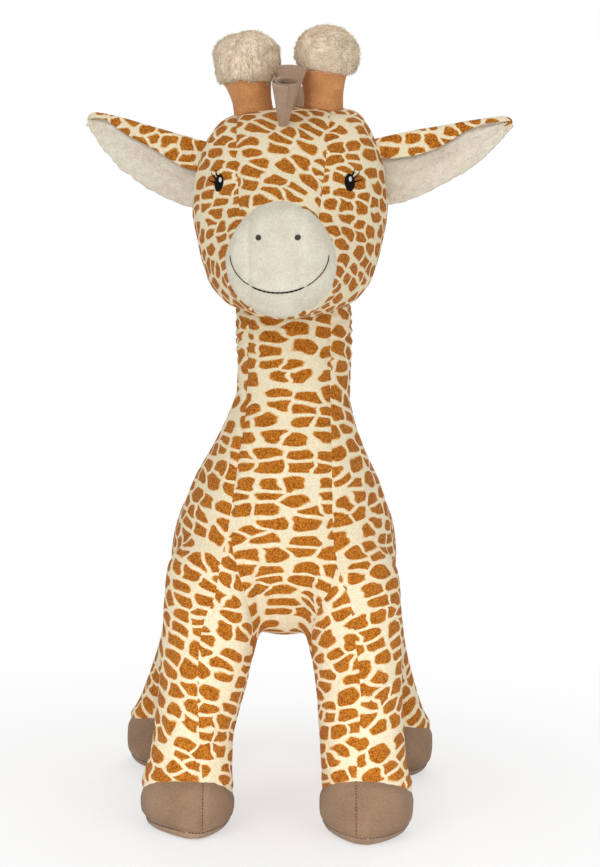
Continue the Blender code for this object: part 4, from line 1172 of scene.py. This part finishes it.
def lining_place(ear, out, share):
    """Across the lining, from the low edge up under the fold: creased, lumpy, and tucked in."""
    top, fold, low = ear_edges(ear, out)
    turn = ear_turn(top, low)
    high = min(fold + LINING_UNDER, top - turn)
    height = low + (high - low) * share
    crease_share = 0.62 + 0.1 * noise.noise((out * 25, 0, 3))
    crease = LINING_CREASE * math.exp(-(((share - crease_share) / 0.10) ** 2))
    lumps = LINING_LUMPS * noise.noise((out * 60, height * 90, 1.7))
    tucked = LINING_TUCK * ease(0.82, 0.96, share)
    close = min((top - low) / LINING_FULL, 1)
    front = (EAR_CLOTH + LINING_PILE + LINING_CLEAR - crease - lumps - tucked) * close
    return Vector((out, ear_cup(ear, out, height) - front, height))


def outward_faces(bm, towards):
    """Turns the sheet's faces so that they point this way."""
    bm.normal_update()
    facing = sum((face.normal.dot(towards) * face.calc_area() for face in bm.faces), 0.0)
    if facing < 0:
        bmesh.ops.reverse_faces(bm, faces=bm.faces)


# Pale fleece with a longer, tousled pile.
FLEECE_PILE = (160, 0.2, 750, 3.0, 0.2)
fleece, tree, skin = shader("ear_fleece", Roughness=0.95, Sheen_Weight=0.12, Specular_IOR_Level=0.12)
tousled, nap = brushed(tree, FLEECE_PILE)
tone = mixed(tree, tousled, (0.770, 0.695, 0.565), (0.840, 0.790, 0.675))
deep = mixed(tree, tousled, (0.620, 0.545, 0.435), (0.715, 0.645, 0.525))
dress(tree, skin, mixed(tree, nap, deep, tone), weighed(tree, nap, 1.0, tousled, 1.2), 0.45, 0.0010)

for side_name, ear in EARS.items():
    side = 1 if side_name == "left" else -1
    mirror = Matrix.Diagonal((side, 1, 1, 1))
    leaf = ear_sheet(ear, EAR_ACROSS, lambda out, share: printed_place(ear, out, share))

    def print_place(loop):
        """The leaf opened flat, the folded part above its top edge."""
        co = loop.vert.co
        turned_over = co.y < ear_cup(ear, co.x, co.z) - EAR_TURN
        across = 2 * at(ear["top"], co.x) - co.z if turned_over else co.z
        u, v = co.x / EAR_CELL[0], across / EAR_CELL[1]
        return u + EAR_CUTTING_STEP * (side + 2), v - EAR_SLANT * u

    set_places(leaf.faces, leaf.loops.layers.uv.new("print"), print_place)
    leaf.transform(mirror)
    # More of the leaf lies behind than is folded over, and the print faces out on both.
    outward_faces(leaf, Vector((0, 1, 0)))
    leaf = with_modifier(leaf, "SOLIDIFY", thickness=EAR_CLOTH, offset=-1, use_rim=True)
    leaf.transform(onto_neck)
    ear_cloth = piece(f"ear_cloth_{side_name}", leaf, printed)
    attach(ear_cloth, f"ear_{side_name}")
    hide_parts(f"ear_back_{side_name}")

    lining = ear_sheet(ear, LINING_ACROSS, lambda out, share: lining_place(ear, out, share))
    lining.transform(mirror)
    outward_faces(lining, Vector((0, -1, 0)))
    lining.normal_update()
    for vert in lining.verts:
        vert.co += vert.normal * LINING_NAP * noise.noise(vert.co * 420)
    lining = with_modifier(lining, "SOLIDIFY", thickness=LINING_PILE, offset=-1, use_rim=True)
    lining.transform(onto_neck)
    ear_lining = piece(f"ear_fleece_{side_name}", lining, fleece)
    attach(ear_lining, f"ear_{side_name}")
    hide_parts(f"ear_lining_{side_name}")


# Horns
# Each horn is a stuffed stalk of tan short-pile cloth, wider towards its top, under a round tip
# of long cream fur. The stalk is sewn to the crown and the tip is sewn over the stalk's end.

HORN_VOXEL = 0.0026
STALK_SMOOTHING, TIP_SMOOTHING = 6, 5
FUR_LOCKS = 7500
FUR_LENGTH = 0.0062
FUR_WIDTH = 0.0010
FUR_LAY_DEGREES = 72
ROOT_SINK = 0.0008
# How far up a lock's painted shade the skin under the fur is coloured: less is darker.
UNDER_FUR_SHADE = 0.35
TAN_PILE = (70, 0.2, 800, 3.0, 0.18)
FUR_PILE = (90, 0.2, 1400, 1.0, 0.5)

tan_cloth, tree, skin = shader("tan_cloth", Roughness=0.95, Sheen_Weight=0.12, Specular_IOR_Level=0.15)
stroked, nap = brushed(tree, TAN_PILE)
light = mixed(tree, stroked, (0.62, 0.284, 0.106), (0.74, 0.360, 0.148))
dark = mixed(tree, stroked, (0.465, 0.196, 0.066), (0.555, 0.247, 0.088))
dress(tree, skin, mixed(tree, nap, dark, light), nap, 0.5, 0.0009)

# Each lock of fur is painted darker towards its root, as painted shade down among the locks.
# Its "strand" coordinate runs from root to tip.
fur, tree, skin = shader("horn_fur", Roughness=0.9, Sheen_Weight=0.15, Specular_IOR_Level=0.15)
patch, nap = brushed(tree, FUR_PILE)
strand_place = add(tree, "ShaderNodeUVMap", uv_map="strand").outputs["UV"]
along = vector(tree, "DOT_PRODUCT", strand_place, (0, 1, 0))
# root is the painted shade at the foot of each lock, tip the fur's own cream colour.
root = mixed(tree, patch, (0.70, 0.540, 0.375), (0.80, 0.635, 0.455))
tip = mixed(tree, patch, (0.88, 0.73, 0.54), (0.94, 0.825, 0.645))
dress(tree, skin, mixed(tree, between(tree, along, 0.0, 0.75), root, tip), nap, 0.5, 0.0004)


def lock_mesh():
    """A lock of fur along Z: pointed, a little bent, and open at its root."""
    bm = bmesh.new()
    bmesh.ops.create_cone(bm, segments=3, radius1=0.5, radius2=0, depth=1)
    bmesh.ops.translate(bm, vec=(0, 0, 0.5), verts=bm.verts)
    sides = [edge for edge in bm.edges if abs(edge.verts[0].co.z - edge.verts[1].co.z) > 0.5]
    bmesh.ops.subdivide_edges(bm, edges=sides, cuts=1, use_grid_fill=True)
    bmesh.ops.delete(bm, geom=[face for face in bm.faces if face.normal.z < -0.9], context="FACES")
    set_places(bm.faces, bm.loops.layers.uv.new("strand"), lambda loop: (0.5, loop.vert.co.z))
    for vert in bm.verts:
        vert.co.y *= 1.6 if 0.2 < vert.co.z < 0.8 else 1.0
        vert.co.x += 1.2 * vert.co.z**2
    mesh = bpy.data.meshes.new("lock")
    bm.to_mesh(mesh)
    bm.free()
    return mesh


lock = lock_mesh()


def plant(bm, root, bend, rise, width, length):
    """Sets one lock at its root, along rise and bent towards bend."""
    turn = Matrix((bend * width, rise.cross(bend) * width, rise * length)).transposed().to_4x4()
    matrix = Matrix.Translation(root) @ turn
    first = len(bm.verts)
    bm.from_mesh(lock)
    bm.verts.ensure_lookup_table()
    for vert in bm.verts[first:]:
        vert.co = matrix @ vert.co


def fur_over(surface, count, comb, draw):
    """The surface with locks of fur planted on it, laid the way that comb gives for each place."""
    bm = surface.copy()
    surface.normal_update()
    faces = list(surface.faces)
    areas = [face.calc_area() for face in faces]
    for face in draw.choices(faces, weights=areas, k=count):
        a, b, c = (vert.co for vert in draw.sample(list(face.verts), 3))
        s, t = draw.random(), draw.random()
        if s + t > 1:
            s, t = 1 - s, 1 - t
        root = a + (b - a) * s + (c - a) * t
        out = face.normal
        way = comb(root, out)
        way = (way - out * way.dot(out)).normalized()
        lay = math.radians(FUR_LAY_DEGREES + draw.uniform(-16, 10))
        rise = (out * math.cos(lay) + way * math.sin(lay)).normalized()
        rise = (rise + Vector([draw.uniform(-0.12, 0.12) for _ in range(3)])).normalized()
        bend = (way - rise * way.dot(rise)).normalized()
        width = FUR_WIDTH * draw.uniform(0.8, 1.3)
        length = FUR_LENGTH * draw.uniform(0.75, 1.2)
        plant(bm, root - out * ROOT_SINK, bend, rise, width, length)
    return bm


def trim(bm, height, **side):
    """Cuts the shape off level at this height, and closes it."""
    plane = {"plane_co": (0, 0, height), "plane_no": (0, 0, 1)}
    bmesh.ops.bisect_plane(bm, geom=[*bm.verts, *bm.edges, *bm.faces], **plane, **side)
    bmesh.ops.holes_fill(bm, edges=[edge for edge in bm.edges if edge.is_boundary])


STALK_LEAN = -0.0028
TIP_SEAT = 0.006
STALK_CREASE = 0.0012
STALK_BEND = (0.70, 0.74)
TIP_LUMPS = 0.0022
FUR_SPREAD, FUR_SWIRL, FUR_STRAY = 25, 0.35, 0.4
# Each horn: how far it leans sideways, how far its tip is drawn in before the fur, the dent in
# the tip (middle, reach, move), and which way the fur falls.
HORNS = {
    "left": (
        (-0.0040, 0.0030),
        ((0.047, -0.066, 0.762), (0.013, 0.02, 0.006), (0, 0.0035, -0.002)),
        Vector((0.75, -0.2, -0.35)),
    ),
    "right": (
        (-0.0028, 0.0008),
        ((-0.060, -0.066, 0.750), (0.012, 0.02, 0.016), (0.002, 0.0025, 0)),
        Vector((-0.30, -0.2, -0.80)),
    ),
}
draw = Random(11)
for side_name, ((shift, room), dent, falls) in HORNS.items():
    tip_low = min(point.z for point in points_of(f"horn_tip_{side_name}"))
    stalk = copy_of([f"horn_filling_{side_name}", f"horn_stalk_{side_name}"])
    stalk = wrapped(stalk, HORN_VOXEL, STALK_SMOOTHING)
    trim(stalk, tip_low + TIP_SEAT, clear_outer=True)
    stalk.normal_update()
    for vert in stalk.verts:
        crease = noise.noise(Vector((vert.co.x * 60, vert.co.y * 60, vert.co.z * 22)))
        vert.co += vert.normal * STALK_CREASE * crease
        vert.co.x += STALK_LEAN + shift * ease(*STALK_BEND, vert.co.z)
    stalk = with_modifier(stalk, "SUBSURF", levels=1, render_levels=1)
    stalk_cloth = piece(f"horn_cloth_{side_name}", stalk, tan_cloth)
    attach(stalk_cloth, f"horn_{side_name}")
    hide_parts(f"horn_filling_{side_name}", f"horn_stalk_{side_name}")

    tip = copy_of([f"horn_tip_{side_name}", f"horn_filling_{side_name}"])
    trim(tip, tip_low, clear_inner=True)
    tip = wrapped(tip, HORN_VOXEL, TIP_SMOOTHING)
    tip.normal_update()
    for vert in tip.verts:
        lump = noise.noise(vert.co * 55 + falls * 5)
        vert.co += vert.normal * (TIP_LUMPS * lump - room)
        vert.co.x += shift
    pushed(tip, [dent])
    middle = middle_of(vert.co for vert in tip.verts)
    # The skin under the fur takes the locks' colour part way up a lock, so it carries some of the roots'
    # painted shade.
    set_places(tip.faces, tip.loops.layers.uv.new("strand"), lambda loop: (0.5, UNDER_FUR_SHADE))

    def comb(root, out):
        """Down and outwards from the crown of the tip, with a swirl."""
        swirl = Vector((0, 0, 1)).cross(out) * FUR_SWIRL
        stray = Vector([noise.noise(root * 70 + falls * k) for k in (0, 1, -1)])
        return falls + (root - middle) * FUR_SPREAD + swirl + stray * FUR_STRAY

    tip_fur = piece(f"horn_fur_{side_name}", fur_over(tip, FUR_LOCKS, comb, draw), fur)
    tip.free()
    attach(tip_fur, f"horn_{side_name}")
    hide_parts(f"horn_tip_{side_name}")


# Mane
# The mane is a row of suede tabs, each a ribbon rolled into a cone with its edge overlapping,
# and sewn on by its narrow end from the forehead over the crown to the shoulders.

TAB_ROUND, TAB_ALONG = 40, 12
TAB_TURNS = 1.45
TAB_CLOTH = 0.0016
TAB_FOOT = 0.0030
TAB_MOUTH = 0.0112
TAB_GROWTH = 0.0027
END_DEPTH = 0.006

mane_suede = suede_of("mane_suede", (0.300, 0.195, 0.130), (0.545, 0.395, 0.290))


def tab_axis(node):
    """The foot of a rolled tab, the way up it and its height, from its solid."""
    points = points_of(node)
    middle = middle_of(points)
    far = max(points, key=lambda point: (point - middle).length)
    near = max(points, key=lambda point: (point - far).length)
    up = (far - near).normalized()
    for _ in range(8):
        offs = [point - middle for point in points]
        up = sum((off * off.dot(up) for off in offs), Vector()).normalized()
    heights = [(point - middle).dot(up) for point in points]
    low, high = min(heights), max(heights)

    def girth(level):
        ring = [point for point, height in zip(points, heights) if abs(height - level) < END_DEPTH]
        return sum((point - middle - up * (point - middle).dot(up)).length for point in ring) / len(ring)

    if girth(low) > girth(high):
        up, low, high = -up, -high, -low
    return middle + up * low, up, high - low


def rolled_tab(height, turn, wide, lean):
    """A ribbon rolled into a cone round Z: its turns grow outwards, and its top is cut aslant."""
    bm = bmesh.new()
    bmesh.ops.create_grid(bm, x_segments=TAB_ROUND, y_segments=TAB_ALONG, size=0.5)
    for vert in bm.verts:
        share, rise = vert.co.x + 0.5, vert.co.y + 0.5
        angle = turn + share * TAB_TURNS * math.tau
        radius = TAB_FOOT + (TAB_MOUTH * wide - TAB_FOOT) * rise + TAB_GROWTH * share * (0.35 + rise)
        radius *= 1 + 0.07 * math.sin(2 * angle + 1) * rise + 0.05 * noise.noise((angle, rise * 2, turn))
        level = rise * height * (1 - lean * math.sin(angle) * rise)
        vert.co = (radius * math.cos(angle), radius * math.sin(angle), level)
    bmesh.ops.recalc_face_normals(bm, faces=bm.faces)
    bm = with_modifier(bm, "SOLIDIFY", thickness=TAB_CLOTH, offset=0, use_rim=True)
    return with_modifier(bm, "SUBSURF", levels=1, render_levels=1)


# The foremost tab is sewn on lower, down the forehead, and is the longest.
FRONT_TAB_MOVE = Vector((-0.0030, -0.0095, -0.0105))
FRONT_TAB_TILT = Vector((0.20, -0.04, 0))
FRONT_TAB_GROWTH = 1.10

# Each tab: how far it is turned about itself, how wide its mouth is, and the slant of its top.
TABS = {
    "mane_tab_head_1": (2.15, 0.84, 0.07),
    "mane_tab_head_2": (2.7, 0.96, 0.10),
    "mane_tab_head_3": (1.2, 1.00, 0.06),
    "mane_tab_head_4": (1.9, 1.02, 0.04),
    "mane_tab_head_5": (0.8, 0.98, 0.05),
    "mane_tab_neck_1": (1.5, 1.00, 0.05),
    "mane_tab_neck_2": (2.2, 1.02, 0.04),
    "mane_tab_back_1": (0.9, 1.00, 0.06),
    "mane_tab_back_2": (1.7, 0.98, 0.05),
}
for name, (turn, wide, lean) in TABS.items():
    foot, up, height = tab_axis(name)
    if name == "mane_tab_head_1":
        foot += FRONT_TAB_MOVE
        up = (up + FRONT_TAB_TILT).normalized()
        height *= FRONT_TAB_GROWTH
    tab = rolled_tab(height, turn, wide, lean)
    upright = Vector((0, 0, 1)).rotation_difference(up).to_matrix().to_4x4()
    tab.transform(Matrix.Translation(foot) @ upright)
    rolled = piece(name.replace("tab", "roll"), tab, mane_suede)
    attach(rolled, {"head": "head", "neck": "neck", "back": "torso"}[name.split("_")[2]])
    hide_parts(name)


# Tail
# The tail is a narrow stuffed cord of the printed cloth, sewn into the seam of the rump, with
# a brush of brown suede fringe at its end.

TAIL_VOXEL = 0.0018
TAIL_SMOOTHING, KNOT_SMOOTHING = 5, 4
TAIL_SPOTS, TAIL_CELL = 3, 0.0125
TAIL_CUTTING_PLACE = 50
FRINGE_LOCKS = 260
FRINGE_LENGTH = 0.030
FRINGE_WIDTH = 0.0026
FRINGE_SPREAD = 0.10
FRINGE_SINK = 0.0005
FRINGE_START = 0.3
KNOT_SHRINK = 0.82

tail_cloth = wrapped(copy_of(["tail"]), TAIL_VOXEL, TAIL_SMOOTHING)
print_layer = tail_cloth.loops.layers.uv.new("print")
middle = middle_of(vert.co for vert in tail_cloth.verts)
for face in tail_cloth.faces:
    centre = face.calc_center_median() - middle
    about = math.atan2(centre.x, -centre.y)
    for loop in face.loops:
        off = loop.vert.co - middle
        angle = math.atan2(off.x, -off.y)
        angle += math.tau * round((about - angle) / math.tau)
        around = TAIL_SPOTS * angle / math.tau
        loop[print_layer].uv = (around + TAIL_CUTTING_PLACE, loop.vert.co.z / TAIL_CELL)
tail_cord = piece("tail_cloth", tail_cloth, printed)
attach(tail_cord, "tail")
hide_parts("tail")

brush_suede = suede_of("brush_suede", (0.150, 0.075, 0.035), (0.330, 0.190, 0.100))
knot = wrapped(copy_of(["tail_tuft"]), TAIL_VOXEL, KNOT_SMOOTHING)
low = min(vert.co.z for vert in knot.verts)
high = max(vert.co.z for vert in knot.verts)
middle = middle_of(vert.co for vert in knot.verts)
brush = knot.copy()
for vert in brush.verts:
    vert.co.x = middle.x + (vert.co.x - middle.x) * KNOT_SHRINK
    vert.co.y = middle.y + (vert.co.y - middle.y) * KNOT_SHRINK
brush.loops.layers.uv.new("strand")
knot.normal_update()
fringe_draw = Random(5)
start = low + FRINGE_START * (high - low)
faces = [face for face in knot.faces if face.calc_center_median().z > start]
for face in fringe_draw.choices(faces, k=FRINGE_LOCKS):
    root = face.calc_center_median()
    out = Vector((*face.normal.xy, 0))
    out = out.normalized() if out.length > 0.05 else Vector((1, 0, 0))
    length = min(FRINGE_LENGTH * fringe_draw.uniform(0.7, 1.0), root.z - low)
    rise = (Vector((0, 0, -1)) + out * FRINGE_SPREAD).normalized()
    bend = (-out - rise * -out.dot(rise)).normalized()
    width = FRINGE_WIDTH * fringe_draw.uniform(0.7, 1.1)
    plant(brush, root - out * FRINGE_SINK, bend, rise, width, length)
knot.free()
tail_brush = piece("tail_brush", brush, brush_suede)
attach(tail_brush, "tail")
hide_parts("tail_tuft")


# Camera and light
# The photograph was taken from a little above, with a long lens and soft light from all round.

LENS, SENSOR = 132.87, 36
CAMERA_PLACE = (0.0105, -3.165, 0.849)
CAMERA_TILT, CAMERA_ROLL = math.radians(81.5), math.radians(1.9)
FLOOR_HALF = 60
FLOOR_GREY = (0.93, 0.93, 0.93, 1)
WORLD_LIGHT = 0.5

camera_data = bpy.data.cameras.new("camera")
camera_data.lens = LENS
camera_data.sensor_width = SENSOR
camera = bpy.data.objects.new("camera", camera_data)
turn = Matrix.Rotation(CAMERA_TILT, 4, "X") @ Matrix.Rotation(CAMERA_ROLL, 4, "Z")
camera.matrix_world = Matrix.Translation(CAMERA_PLACE) @ turn
bpy.context.scene.collection.objects.link(camera)
bpy.context.scene.camera = camera
bpy.context.scene.view_settings.view_transform = "Standard"

# The floor is white to the camera further off, and takes a soft shadow under the toy.
floor_finish, tree, skin = shader("floor", Roughness=0.9, Specular_IOR_Level=0.0)
skin.inputs["Base Color"].default_value = FLOOR_GREY
place = add(tree, "ShaderNodeTexCoord").outputs["Object"]
away = between(tree, vector(tree, "LENGTH", place), 0.1, 0.8, 0.55, 1.0)
glow = add(tree, "ShaderNodeEmission", {"Color": (1, 1, 1, 1), "Strength": 1.0})
seen = add(tree, "ShaderNodeLightPath").outputs["Is Camera Ray"]
white = number(tree, "MULTIPLY", seen, away)
mix = add(tree, "ShaderNodeMixShader", {0: white, 1: skin.outputs[0], 2: glow.outputs[0]})
tree.links.new(mix.outputs[0], tree.nodes["Material Output"].inputs["Surface"])
floor_mesh = bmesh.new()
bmesh.ops.create_grid(floor_mesh, x_segments=1, y_segments=1, size=FLOOR_HALF)
floor = piece("floor", floor_mesh, floor_finish)
# Each lamp: its name, its place, the height that it points at, its size, the angle that it
# spreads over and its power.
LAMPS = (
    ("key", (-1.5, -2.4, 2.2), 0.4, 2.2, 180, 35),
    ("fill", (1.9, -2.4, 1.5), 0.4, 2.4, 180, 24),
    ("low", (0.0, -2.6, 0.25), 0.4, 1.2, 180, 8),
    ("feet", (0.0, -1.9, 0.20), -0.05, 0.25, 30, 0.42),
    ("back", (0.3, 2.0, 2.2), 0.4, 1.8, 180, 26),
)
for name, spot_place, aim, size, spread, power in LAMPS:
    lamp = bpy.data.lights.new(name, "AREA")
    lamp.size = size
    lamp.energy = power
    lamp.spread = math.radians(spread)
    light = bpy.data.objects.new(name, lamp)
    towards = Vector((0, 0, aim)) - Vector(spot_place)
    turn = towards.to_track_quat("-Z", "Y").to_matrix().to_4x4()
    light.matrix_world = Matrix.Translation(spot_place) @ turn
    bpy.context.scene.collection.objects.link(light)
world = bpy.data.worlds.new("world")
bpy.context.scene.world = world
world.use_nodes = True
tree = world.node_tree
seen = add(tree, "ShaderNodeLightPath").outputs["Is Camera Ray"]
strength = number(tree, "MAXIMUM", seen, WORLD_LIGHT)
tree.links.new(strength, tree.nodes["Background"].inputs["Strength"])
tree.nodes["Background"].inputs["Color"].default_value = (1, 1, 1, 1)
